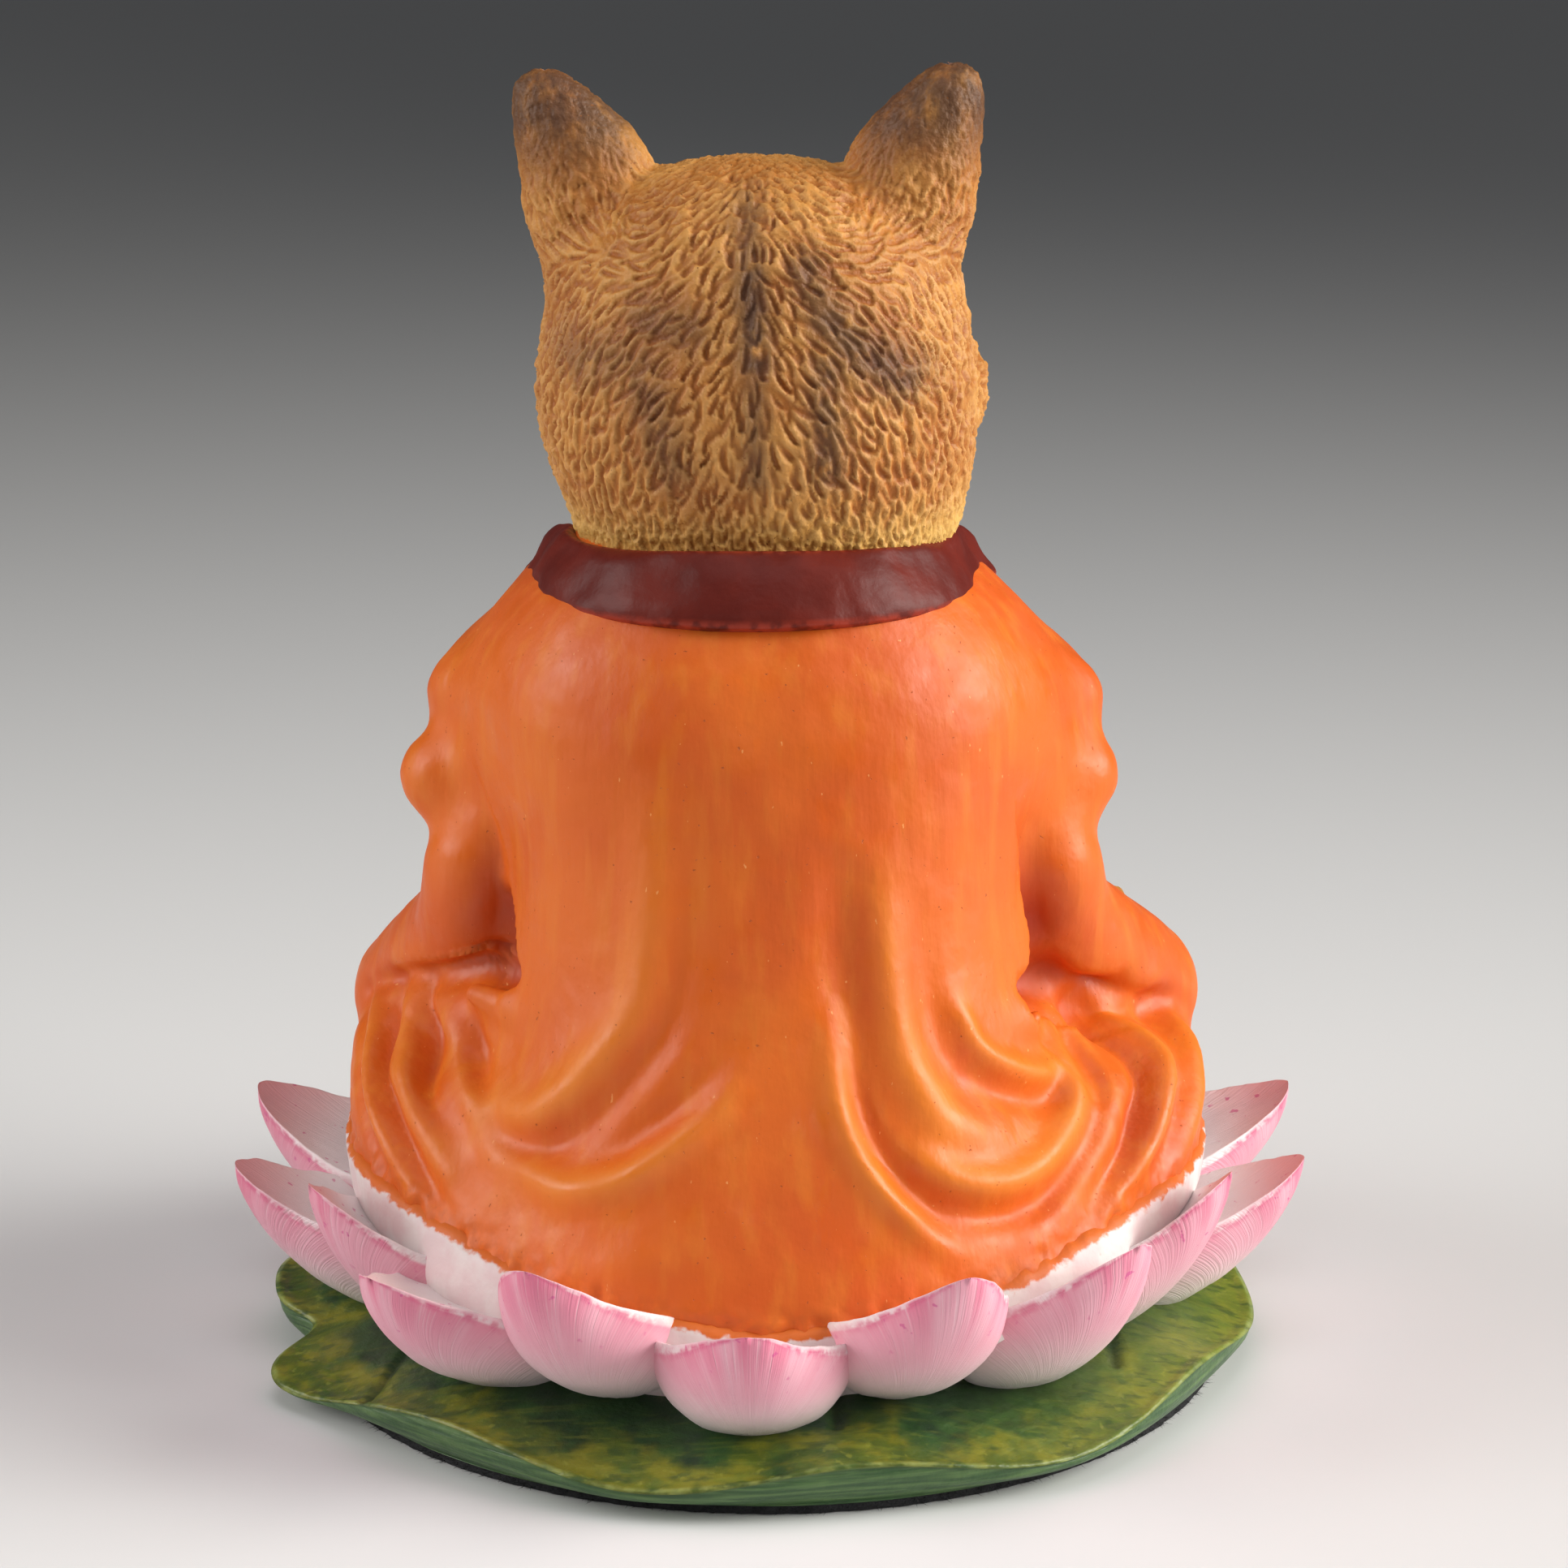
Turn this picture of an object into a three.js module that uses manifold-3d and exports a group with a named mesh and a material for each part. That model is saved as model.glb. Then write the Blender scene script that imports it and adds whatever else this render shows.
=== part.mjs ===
// A seated cat in a monk's robe on a lotus, cast in resin in one piece, with a felt pad under it.
// Millimetres, +Z up. The origin is the centre of the pad's underside, and the cat faces -Y.
// An azimuth is measured in degrees from the back (+Y) towards the cat's left hand (+X).
import * as THREE from 'three';
import { mergeVertices } from 'three/addons/utils/BufferGeometryUtils.js';
import Module from 'manifold-3d';

// Driving dimensions
const FELT_RADIUS = 49;
const FELT_THICK = 1;
const LEAF_REACH = 52.2;
const LEAF_RIM_HEIGHT = 4.7;
const LEAF_CROWN_HEIGHT = 10;
const CORE_LIP = 0.7;
const PETAL_START = 32;
const ROBE_BOTTOM = 11;
const ROBE_TOP = 91.5;
const COLLAR_HEIGHT = 88.2;
const COLLAR_RISE = 1.6;
const COLLAR_DROP = 28;
const COLLAR_WIDTH = 7.6;
const COLLAR_THICK = 4.6;
const COLLAR_SINK = 1.3;
const COLLAR_BACK_PROUD = 1.1;
const COLLAR_SLOPE = 1.7;
const COLLAR_FRONT_SPAN = 95;
const HEAD_PIVOT = new THREE.Vector3(1.2, -1, 100);
const HEAD_TURN = -4;
const HEAD_TILT = 1.6;
const HEAD_BASE = 84;
const HEAD_TOP = 130.2;
const EAR_BASE = 111;
const EAR_TIP = 139.2;
const PAW_SIZE = [6.2, 10.5, 5];
const LEFT_PAW = [33, -27.5, 38.3];
const RIGHT_PAW = [-34, -27.5, 38.8];
const PAW_TURN = 8;

// Profiles: each row is a height and the sizes there
const TORSO = {
  height: [10, 20, 30, 40, 50, 60, 70, 76, 81, 86, 90, 94],
  half: [41, 39.5, 35, 30.8, 28.8, 28.6, 30, 30.5, 28.5, 24.6, 19.6, 18.5],
  back: [44, 42.5, 39.5, 36, 33, 31, 29.5, 28.4, 26.6, 23.6, 20.8, 19],
  front: [30, 30, 29, 27, 25, 25, 25, 24, 23, 21, 19, 18],
};
const CORE = {
  turn: [0, 15, 35, 50, 65, 90, 180],
  top: [17.4, 18.6, 20.4, 22.3, 23.8, 24.2, 23],
};
const LAP = {
  height: [8, 14, 20, 26, 31, 35, 38],
  half: [42, 43.8, 45.3, 46, 45.6, 43.5, 39],
  back: [41, 41, 39, 36, 32, 28, 24],
  front: [38, 38.5, 38, 36, 32, 27, 21],
};
const SKULL = {
  height: [84, 90, 94, 98, 102, 106, 110, 114, 118, 122, 125, 127.5, 129.3, 130.2],
  half: [18, 19.8, 20.9, 22, 22.7, 22.9, 22.5, 21.3, 19.8, 17.8, 15.2, 11.6, 7, 2.5],
  sway: [-1.1, -1.1, -1.1, -0.8, -0.4, -0.3, -0.4, -0.7, -0.6, -0.3, 0, 0, 0, 0],
};
const EAR = {
  height: [110, 118, 124, 129, 133, 136, 138, 139.2],
  middle: [13.4, 14.2, 15.7, 16.9, 18.4, 20, 21, 21.4],
  half: [7.6, 7.5, 7.8, 7.1, 6, 4.4, 2.8, 1],
  deep: [8.4, 7.8, 6.8, 5.6, 4.5, 3.4, 2.3, 0.9],
};

// Petals: azimuth, reach of the tip, height of the tip, height of the rim at the robe, half width, depth
const PETALS = [
  [2, 56, 22, 15.2, 10.8, 10],
  [45, 57.6, 22.4, 15.3, 10.6, 10.5],
  [87, 58, 21.1, 14, 10.1, 11],
  [133, 57, 21.5, 15, 10.6, 10.5],
  [180, 55.5, 21.5, 15, 11.5, 10.5],
  [-133, 57, 21.5, 15, 10.6, 10.5],
  [-87, 58.3, 21.6, 13.9, 10.2, 11.2],
  [-44, 55, 25.5, 15.4, 10.8, 11.4],
  [25.4, 56.4, 27.2, 17.2, 9.9, 11],
  [66.3, 52.8, 25.3, 16.9, 10.1, 11.2],
  [109.2, 60.3, 22, 15.2, 10.8, 10.4],
  [156, 55.5, 25, 16.5, 10.4, 11],
  [-156, 55.5, 25, 16.5, 10.4, 11],
  [-109, 61.5, 22, 16.4, 10.2, 10.1],
  [-67.6, 53, 26.2, 16, 10.4, 11],
  [-21.3, 56.3, 27, 16.8, 10, 10.2],
];

// Main folds of the robe: kind, reach across, and points of azimuth, height and size.
// A step lets the cloth on its outer side drop back behind the edge of the back panel.
const FOLDS = [
  ['step', 7, [
    [73, 68.5, 0], [69, 62, 0.8], [66, 55.5, 2.6], [62.5, 50.5, 3.6], [60, 46.8, 4.6], [64, 44.6, 3],
  ]],
  ['step', 7, [
    [-57, 67, 0], [-61, 60.5, 1.2], [-64, 52, 3.6], [-62, 46.5, 4.2], [-56, 44.6, 3], [-57, 42.2, 1],
  ]],
  ['ridge', 3.8, [
    [22, 76, 0], [22.5, 60, 0.8], [25, 48, 1.3], [33, 39, 1.6], [43, 34.6, 1.2], [49, 35, 0.6],
  ]],
  ['valley', 3.2, [[13, 70, 0], [14, 50, 0.9], [20, 39, 0.9], [30, 34, 0.3]]],
  ['valley', 2.6, [[68, 40.7, 1], [58, 37.2, 1.6], [52, 35.6, 1.2], [46, 36.5, 0.4]]],
  ['ridge', 3, [[38, 28.5, 0.2], [24, 30.7, 1.3], [16, 34.3, 1.1], [9, 38, 0.3]]],
  ['valley', 2.4, [[98, 41, 0.4], [88, 37, 1.7], [73, 32.9, 1.8], [59, 27.6, 1], [54, 24.9, 0.4]]],
  ['ridge', 2.8, [[-22, 64, 0], [-21, 52, 1.2], [-22, 45.3, 1.4], [-28, 37.5, 1.3], [-36, 33, 0.8]]],
  ['valley', 2.8, [[-14, 66, 0], [-14, 52, 1.1], [-17, 42, 0.6], [-22, 36, 0.3]]],
  ['ridge', 2.4, [[-23, 33.6, 0.3], [-30, 30.7, 1.6], [-43, 30.2, 1.1], [-55, 34, 0.2]]],
  ['ridge', 2.4, [[-10.5, 48, 0], [-11, 38.7, 1.3], [-17, 30.6, 1.4], [-26, 25.2, 0.3]]],
  ['ridge', 2.2, [[-34, 49, 0.2], [-42, 43.1, 1.2], [-51, 39.6, 1], [-59, 37, 0.4]]],
  ['valley', 2.6, [[-70, 35, 0.3], [-63, 31.4, 1.6], [-48, 26.2, 1.2], [-41, 23.4, 0.5]]],
  ['valley', 2.1, [[104, 36.5, 0.8], [88, 39.4, 1.3], [76, 42, 1.6], [66, 44.2, 2]]],
  ['valley', 2.1, [[-106, 35, 0.8], [-86, 39.6, 1.6], [-75, 42.5, 1.6], [-66, 44.6, 1.8]]],
];

// Limbs under the robe: from, to, and the radius at each end
const LEFT_SHIN = [[30.4, -18, 24], [-11, -36, 26.5], 13.3, 8.5];
const RIGHT_SHIN = [[-34, -18, 24], [12, -40, 19.5], 13.5, 9];
const LEFT_SLEEVE = {
  shoulder: [21.5, 0, 69],
  elbow: [28.8, 4, 55],
  wrist: [37.2, -12, 35.2],
  rolls: [[[32.6, -1.5, 72.5], [27, -10, 74], 3.5], [[34, 1, 64], [29, -10, 66], 5.1]],
};
const RIGHT_SLEEVE = {
  shoulder: [21.5, 0, 69],
  elbow: [27.6, 4, 55],
  wrist: [38.4, -11, 36.2],
  rolls: [[[31.6, -1.5, 71.8], [27, -10, 73], 3.5], [[31.9, 1, 64.2], [29, -10, 66], 5.1]],
};

const radians = THREE.MathUtils.degToRad;
const clamp = THREE.MathUtils.clamp;

// Smooth value at a station between those of a profile
function curve(at, stations, values) {
  const last = stations.length - 1;
  const place = clamp(at, stations[0], stations[last]);
  let i = 0;
  while (i < last - 1 && place >= stations[i + 1]) i += 1;
  const slope = (k) => {
    const low = Math.max(k - 1, 0);
    const high = Math.min(k + 1, last);
    if (low === k || high === k) return (values[high] - values[low]) / (stations[high] - stations[low]);
    const before = stations[k] - stations[low];
    const after = stations[high] - stations[k];
    const rise = before * before * (values[high] - values[k]) + after * after * (values[k] - values[low]);
    return rise / (before * after * (before + after));
  };
  const span = stations[i + 1] - stations[i];
  const t = (place - stations[i]) / span;
  const ease = t * t * (3 - 2 * t);
  const start = t * (1 - t) * (1 - t) * span * slope(i);
  const end = t * t * (t - 1) * span * slope(i + 1);
  return values[i] * (1 - ease) + values[i + 1] * ease + start + end;
}

// Rounded join, and rounded cut, of two distances
function join(a, b, round) {
  const mix = clamp(0.5 + (0.5 * (b - a)) / round, 0, 1);
  return b * (1 - mix) + a * mix - round * mix * (1 - mix);
}

function cut(a, b, round) {
  return -join(-a, -b, round);
}

// Distance to a round-ended cone
function cone(p, from, to, fromRadius, toRadius) {
  const start = new THREE.Vector3(...from);
  const along = new THREE.Vector3(...to).sub(start);
  const offset = p.clone().sub(start);
  const t = clamp(offset.dot(along) / along.lengthSq(), 0, 1);
  return offset.addScaledVector(along, -t).length() - (fromRadius + (toRadius - fromRadius) * t);
}

function ellipsoid(p, centre, radii) {
  const q = p.clone().sub(new THREE.Vector3(...centre)).divide(new THREE.Vector3(...radii));
  const size = q.length();
  const steep = q.divide(new THREE.Vector3(...radii)).length() + 1e-9;
  return (size * (size - 1)) / steep;
}

// Distance to an upright form whose level section is a rounded box
function loft(p, x, y, half, back, front, power) {
  const dx = p.x - x;
  const dy = p.y - y;
  const depth = dy > 0 ? back : front;
  const size = ((Math.abs(dx) / half) ** power + (Math.abs(dy) / depth) ** power) ** (1 / power);
  return Math.hypot(dx, dy) * (1 - 1 / (size + 1e-9));
}

function profileLoft(p, profile, x, y, power) {
  const size = (values) => curve(p.z, profile.height, values);
  return loft(p, x, y, size(profile.half), size(profile.back), size(profile.front), power);
}

function torso(p) {
  const lean = -0.9 + (2 * (p.z - 30)) / 80 + 0.4 * clamp((p.z - 65) / 10, 0, 1);
  return profileLoft(p, TORSO, lean, 0, 2.25);
}

function lap(p) {
  const seat = cut(profileLoft(p, LAP, -0.9, -4, 2.5), p.z - 37.5, 5);
  const thighs = join(seat, cone(p, ...LEFT_SHIN), 4);
  return join(thighs, cone(p, ...RIGHT_SHIN), 3);
}

// Distance to a sleeve, without the rolls of cloth on it
function sleeve(p, side) {
  const q = new THREE.Vector3(side * (p.x + 0.3), p.y, p.z);
  const { shoulder, elbow, wrist } = side > 0 ? LEFT_SLEEVE : RIGHT_SLEEVE;
  const forearm = [elbow[0], elbow[1], elbow[2] - 5];
  return join(cone(q, shoulder, elbow, 9.8, 7.9), cone(q, forearm, wrist, 7.5, 8.3), 4);
}

// The robe without its sleeves, with the lower corners of the back panel
function robe(p) {
  const body = join(torso(p), lap(p), 6);
  const leftCorner = cone(p, [22, 21.5, 42.5], [29.2, 8.5, 42.2], 4, 1.7);
  const rightCorner = cone(p, [-21, 23, 43.5], [-27.2, 17, 42.5], 4, 2);
  return join(body, Math.min(leftCorner, rightCorner), 2);
}

// The head without its ears, in its own upright frame
function skull(p) {
  const half = curve(p.z, SKULL.height, SKULL.half);
  const sway = curve(p.z, SKULL.height, SKULL.sway);
  let d = loft(p, sway, 0, half, half * 0.93, half * 0.86, 2.2);
  d = cut(d, p.z - HEAD_TOP, 3);
  for (const side of [1, -1]) d = join(d, ellipsoid(p, [side * 13.5, -11, 103], [10.6, 9, 8.5]), 4);
  return join(d, ellipsoid(p, [0, -18, 99.5], [8.5, 6.5, 6]), 3.5);
}

function outwards(azimuth) {
  return new THREE.Vector3(Math.sin(radians(azimuth)), Math.cos(radians(azimuth)), 0);
}

// Point where a ray that comes in from a distance first meets a form
function marchedPoint(field, centre, ray, start) {
  let reach = start;
  for (let i = 0; i < 80; i += 1) {
    reach -= clamp(0.7 * field(centre.clone().addScaledVector(ray, reach)), -1, 3);
  }
  return centre.clone().addScaledVector(ray, Math.max(reach, 0.4));
}

function surfacePoint(field, axis, azimuth, height) {
  return marchedPoint(field, new THREE.Vector3(axis.x, axis.y, height), outwards(azimuth), 70);
}

// One fold as a line of points in space, each with its size
function foldLine([kind, width, points]) {
  const count = 24;
  const stations = points.map((_, i) => i);
  const line = [];
  for (let i = 0; i <= count; i += 1) {
    const at = (i / count) * (points.length - 1);
    const [azimuth, height, size] = [0, 1, 2].map((k) => curve(at, stations, points.map((q) => q[k])));
    line.push({ point: surfacePoint(robe, { x: 0, y: 0 }, azimuth, height), size });
  }
  return { kind, width, line, side: Math.sign(points[0][0]) };
}

// How far a fold lifts the cloth at a point
function foldLift(p, { kind, width, line, side }) {
  let best = { distance: Infinity, size: 0, across: 0 };
  for (let i = 0; i + 1 < line.length; i += 1) {
    const along = line[i + 1].point.clone().sub(line[i].point);
    const t = clamp(p.clone().sub(line[i].point).dot(along) / along.lengthSq(), 0, 1);
    const away = p.clone().sub(line[i].point).addScaledVector(along, -t);
    if (away.length() < best.distance) {
      const out = new THREE.Vector3(line[i].point.x, line[i].point.y, 0).normalize();
      const east = new THREE.Vector3(out.y, -out.x, 0);
      const across = along.clone().cross(out).normalize();
      const size = line[i].size + t * (line[i + 1].size - line[i].size);
      best = { distance: away.length(), size, across: away.dot(across) * Math.sign(across.dot(east)) * side };
    }
  }
  const spread = Math.exp(-((best.distance / width) ** 2));
  if (kind === 'ridge') return best.size * spread;
  if (kind === 'valley') return -best.size * spread;
  const behind = clamp(best.across + 0.5, 0, 1);
  return -best.size * behind * behind * (3 - 2 * behind) * Math.exp(-((best.distance / width) ** 1.3));
}

// Geometry from rings of points that close on themselves, with the ends filled by fans
function ringsGeometry(rings) {
  const count = rings[0].length;
  const points = rings.flat();
  const faces = [];
  for (let j = 0; j + 1 < rings.length; j += 1) {
    for (let i = 0; i < count; i += 1) {
      const a = j * count + i;
      const b = j * count + ((i + 1) % count);
      faces.push(a, b, b + count, a, b + count, a + count);
    }
  }
  for (const [ring, turned] of [[0, true], [rings.length - 1, false]]) {
    const middle = points.length;
    const centre = rings[ring].reduce((sum, p) => sum.add(p), new THREE.Vector3()).divideScalar(count);
    points.push(centre);
    for (let i = 0; i < count; i += 1) {
      const a = ring * count + i;
      const b = ring * count + ((i + 1) % count);
      faces.push(...(turned ? [b, a, middle] : [a, b, middle]));
    }
  }
  return facesOut(points, faces);
}

// Geometry from points and faces, turned so that the faces point out
function facesOut(points, faces) {
  let volume = 0;
  for (let i = 0; i < faces.length; i += 3) {
    const [a, b, c] = [points[faces[i]], points[faces[i + 1]], points[faces[i + 2]]];
    volume += a.dot(b.clone().cross(c));
  }
  if (volume < 0) faces.reverse();
  const geometry = new THREE.BufferGeometry();
  geometry.setAttribute('position', new THREE.Float32BufferAttribute(points.flatMap((p) => p.toArray()), 3));
  geometry.setIndex(faces);
  return geometry;
}

function range(from, to, count) {
  return Array.from({ length: count + 1 }, (_, i) => from + ((to - from) * i) / count);
}

// Azimuths round the figure, close together at the back where the folds are
function roundAzimuths(count, backShare) {
  return range(0, 360, count).slice(0, count).map((a) => a - backShare * Math.sin(radians(a)) * 57.3);
}

function robeGeometry() {
  const folds = FOLDS.map(foldLine);
  const azimuths = roundAzimuths(60, 0.2);
  const rings = range(ROBE_BOTTOM, ROBE_TOP, 22).map((height) => azimuths.map((azimuth) => {
    const p = surfacePoint(robe, { x: -0.5, y: -2 }, azimuth, height);
    const lift = folds.reduce((sum, fold) => sum + foldLift(p, fold), 0);
    return p.addScaledVector(outwards(azimuth), lift);
  }));
  return ringsGeometry(rings);
}

// A sleeve, meshed outwards from the middle line of the arm
function sleeveGeometry(side) {
  const { shoulder, elbow, wrist } = side > 0 ? LEFT_SLEEVE : RIGHT_SLEEVE;
  const end = [wrist[0] + 0.5, wrist[1] - 5, wrist[2] - 4.5];
  const stops = [[19, 1, 77], shoulder, elbow, wrist, end];
  const spine = new THREE.CatmullRomCurve3(stops.map(([x, y, z]) => new THREE.Vector3(side * x - 0.3, y, z)));
  const rings = range(0, 1, 9).map((t) => {
    const centre = spine.getPoint(t);
    const along = spine.getTangent(t);
    const outer = new THREE.Vector3(side, 0, 0);
    outer.addScaledVector(along, -outer.dot(along)).normalize();
    const front = along.clone().cross(outer);
    return range(0, 360, 12).slice(0, 12).map((angle) => {
      const ray = outer.clone().multiplyScalar(Math.cos(radians(angle)));
      ray.addScaledVector(front, Math.sin(radians(angle)));
      return marchedPoint((p) => sleeve(p, side), centre, ray, 20);
    });
  });
  return ringsGeometry(rings);
}

// A roll of cloth across the sleeve, from the side to the front
function rollGeometries(side) {
  const { rolls } = side > 0 ? LEFT_SLEEVE : RIGHT_SLEEVE;
  return rolls.map(([from, to, radius]) => {
    const [start, end] = [from, to].map(([x, y, z]) => new THREE.Vector3(side * x - 0.3, y, z));
    const along = end.clone().sub(start);
    const roll = new THREE.CapsuleGeometry(radius, along.length(), 2, 8);
    const upright = new THREE.Vector3(0, 1, 0);
    roll.applyQuaternion(new THREE.Quaternion().setFromUnitVectors(upright, along.clone().normalize()));
    return roll.translate(...start.add(end).multiplyScalar(0.5).toArray());
  });
}

// Middle of the rolled collar: highest behind the neck, and down to a point at the chest
function collarPoint(azimuth) {
  const front = 180 - Math.abs(azimuth > 180 ? azimuth - 360 : azimuth);
  const t = clamp(front / COLLAR_FRONT_SPAN, 0, 1);
  const back = Math.max(Math.cos(radians(azimuth)), 0) ** 2;
  const drop = COLLAR_DROP * (1 - t) ** 1.15 * (1 - 0.25 * t);
  const onRobe = surfacePoint(robe, { x: 0, y: 0 }, azimuth, COLLAR_HEIGHT + COLLAR_RISE * back - drop);
  return onRobe.addScaledVector(outwards(azimuth), COLLAR_BACK_PROUD * back - COLLAR_SINK);
}

function collarGeometry() {
  const azimuths = range(0, 360, 40).slice(0, 40);
  const centres = azimuths.map(collarPoint);
  const rings = azimuths.map((azimuth, k) => {
    const before = centres[(k + centres.length - 1) % centres.length];
    const along = centres[(k + 1) % centres.length].clone().sub(before).normalize();
    const up = new THREE.Vector3(0, 0, COLLAR_SLOPE).sub(outwards(azimuth));
    up.addScaledVector(along, -up.dot(along)).normalize();
    const proud = along.clone().cross(up).normalize();
    if (proud.dot(outwards(azimuth)) < 0) proud.negate();
    return [30, 90, 150, 210, 270, 330].map((angle) => centres[k].clone()
      .addScaledVector(up, (COLLAR_WIDTH / 2) * Math.cos(radians(angle)))
      .addScaledVector(proud, (COLLAR_THICK / 2) * Math.sin(radians(angle))));
  });
  return closedBand(rings);
}

// Geometry of a band that runs round and meets itself
function closedBand(rings) {
  const count = rings[0].length;
  const faces = [];
  rings.forEach((_, j) => {
    const next = (j + 1) % rings.length;
    for (let i = 0; i < count; i += 1) {
      const side = (i + 1) % count;
      faces.push(j * count + i, j * count + side, next * count + side);
      faces.push(j * count + i, next * count + side, next * count + i);
    }
  });
  return facesOut(rings.flat(), faces);
}

// From the head's own frame to the figure's
function headMatrix() {
  const turn = new THREE.Matrix4().makeRotationY(radians(HEAD_TILT));
  turn.multiply(new THREE.Matrix4().makeRotationZ(radians(HEAD_TURN)));
  turn.setPosition(HEAD_PIVOT);
  return turn.multiply(new THREE.Matrix4().makeTranslation(0, 0, -HEAD_PIVOT.z));
}

function skullGeometry() {
  const heights = [...range(HEAD_BASE, 122, 10), 125, 127.4, 129, 130];
  const azimuths = range(0, 360, 27).slice(0, 27);
  const rings = heights.map((height) => azimuths.map((azimuth) => {
    return surfacePoint(skull, { x: 0, y: 0 }, azimuth, height);
  }));
  return ringsGeometry(rings).applyMatrix4(headMatrix());
}

function earRings(side, grow, forward, heights) {
  return heights.map((height) => {
    const size = (values) => curve(height, EAR.height, values);
    const middle = size(EAR.middle) - (grow < 0 ? 0.4 : 0);
    const deep = size(EAR.deep);
    const y = -1.5 - 0.08 * (height - 118) - forward * deep;
    return range(0, 360, 14).slice(0, 14).map((angle) => new THREE.Vector3(
      side * (middle + Math.max(size(EAR.half) + grow, 0.4) * Math.sin(radians(angle))),
      y + deep * (grow < 0 ? 1.05 : 1) * Math.cos(radians(angle)),
      height,
    ));
  });
}

function earSolid(side) {
  const whole = ringsGeometry(earRings(side, 0, 0, [...range(EAR_BASE, 134, 5), 137, 138.6, EAR_TIP]));
  const hollow = ringsGeometry(earRings(side, -1.8, 0.9, range(119.5, 137.6, 4)));
  return solid(whole.applyMatrix4(headMatrix())).subtract(solid(hollow.applyMatrix4(headMatrix())));
}

// A boat-shaped petal with a hollow top, from the robe out to its raised tip
function petalGeometry([azimuth, reach, tip, rim, half, depth]) {
  const out = outwards(azimuth);
  const across = new THREE.Vector3(out.y, -out.x, 0);
  const sides = 4;
  const steps = 4;
  const rings = range(0, 1, steps).slice(0, steps).map((step) => {
    const v = 1 - (1 - step) ** 1.5;
    const wide = half * (0.86 + 0.14 * Math.sin(Math.PI * Math.min(1, 1.3 * v))) * (1 - v ** 3.4) ** 0.62;
    const edge = rim + (tip - rim) * v * v;
    const belly = depth * (1 - v ** 3) ** 0.55;
    const hollow = 3.6 * (1 - v ** 5) ** 0.8;
    const centre = out.clone().multiplyScalar(PETAL_START + (reach - PETAL_START) * v);
    const under = range(0, Math.PI, sides).map((angle) => [Math.cos(angle), -belly * Math.sin(angle) ** 0.8]);
    const over = range(-1, 1, sides).slice(1, -1).map((s) => [s, -hollow * (1 - s * s)]);
    return [...under, ...over].map(([side, drop]) => {
      return centre.clone().addScaledVector(across, wide * side).setZ(edge + drop);
    });
  });
  const end = out.clone().multiplyScalar(reach);
  rings.push(rings[0].map((_, i) => {
    const angle = (2 * Math.PI * i) / rings[0].length;
    return end.clone().addScaledVector(across, 0.3 * Math.cos(angle)).setZ(tip - 0.3 - 0.3 * Math.sin(angle));
  }));
  return ringsGeometry(rings);
}

// The leaf's wavy edge: reach and height for an azimuth, with its slit and its corner
function leafEdge(azimuth) {
  const near = (centre, width) => {
    const gap = THREE.MathUtils.euclideanModulo(azimuth - centre + 180, 360) - 180;
    return Math.exp(-((gap / width) ** 2));
  };
  const wave = Math.cos(radians(7 * (azimuth + 11)));
  const corner = 3 * near(70, 7) - 3.6 * near(79, 4) + 2.2 * near(93, 12);
  const dents = -3.5 * near(-118, 4) + 2 * near(-127, 8) - 3.5 * near(188, 4) + 2.5 * near(196, 7);
  return {
    reach: LEAF_REACH - 0.7 * wave + corner + dents,
    height: LEAF_RIM_HEIGHT + 1.3 * wave - 1.2 * near(66, 8),
  };
}

function leafGeometry() {
  const azimuths = [...range(0, 60, 10), ...range(63, 99, 12), ...range(106, 354, 38)];
  const level = (reachOf, heightOf) => azimuths.map((azimuth) => {
    const edge = leafEdge(azimuth);
    return outwards(azimuth).multiplyScalar(reachOf(edge)).setZ(heightOf(edge));
  });
  const crown = (share) => level(
    (edge) => 26 + (edge.reach - 26) * share,
    (edge) => edge.height * share ** 1.5 + LEAF_CROWN_HEIGHT * (1 - share ** 1.5),
  );
  const flank = level((edge) => edge.reach - 0.6, (edge) => FELT_THICK + (edge.height - FELT_THICK) * 0.45);
  const underside = level(() => FELT_RADIUS + 0.2, () => FELT_THICK);
  return ringsGeometry([underside, flank, crown(1), crown(0)]);
}

function feltGeometry() {
  const ring = (height) => range(0, 360, 48).slice(0, 48).map((azimuth) => {
    return outwards(azimuth).multiplyScalar(FELT_RADIUS).setZ(height);
  });
  return ringsGeometry([ring(0), ring(FELT_THICK)]);
}

// The white middle of the lotus, which rises between the petals to the robe
function coreGeometry() {
  const azimuths = range(0, 360, 36).slice(0, 36);
  const level = (radius, height) => azimuths.map((azimuth) => {
    return outwards(azimuth).multiplyScalar(radius).setZ(height);
  });
  const atRobe = azimuths.map((azimuth) => {
    const height = curve(Math.abs(azimuth > 180 ? azimuth - 360 : azimuth), CORE.turn, CORE.top);
    return surfacePoint(robe, { x: 0, y: 0 }, azimuth, height).addScaledVector(outwards(azimuth), CORE_LIP);
  });
  const inside = atRobe.map((p) => p.clone().multiply(new THREE.Vector3(0.8, 0.8, 1)));
  return ringsGeometry([level(36, 4), level(41, 11), level(44, 14), atRobe, inside]);
}

// A forepaw, lying on the knee and pointing forwards
function pawGeometry(place, turn) {
  const paw = new THREE.SphereGeometry(1, 10, 7).rotateX(Math.PI / 2).scale(...PAW_SIZE);
  return paw.rotateZ(radians(turn)).translate(...place);
}

const wasm = await Module();
wasm.setup();

function solid(geometry) {
  geometry.deleteAttribute('normal');
  geometry.deleteAttribute('uv');
  const merged = mergeVertices(geometry, 1e-4);
  return new wasm.Manifold(new wasm.Mesh({
    numProp: 3,
    vertProperties: merged.attributes.position.array,
    triVerts: new Uint32Array(merged.index.array),
  }));
}

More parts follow.
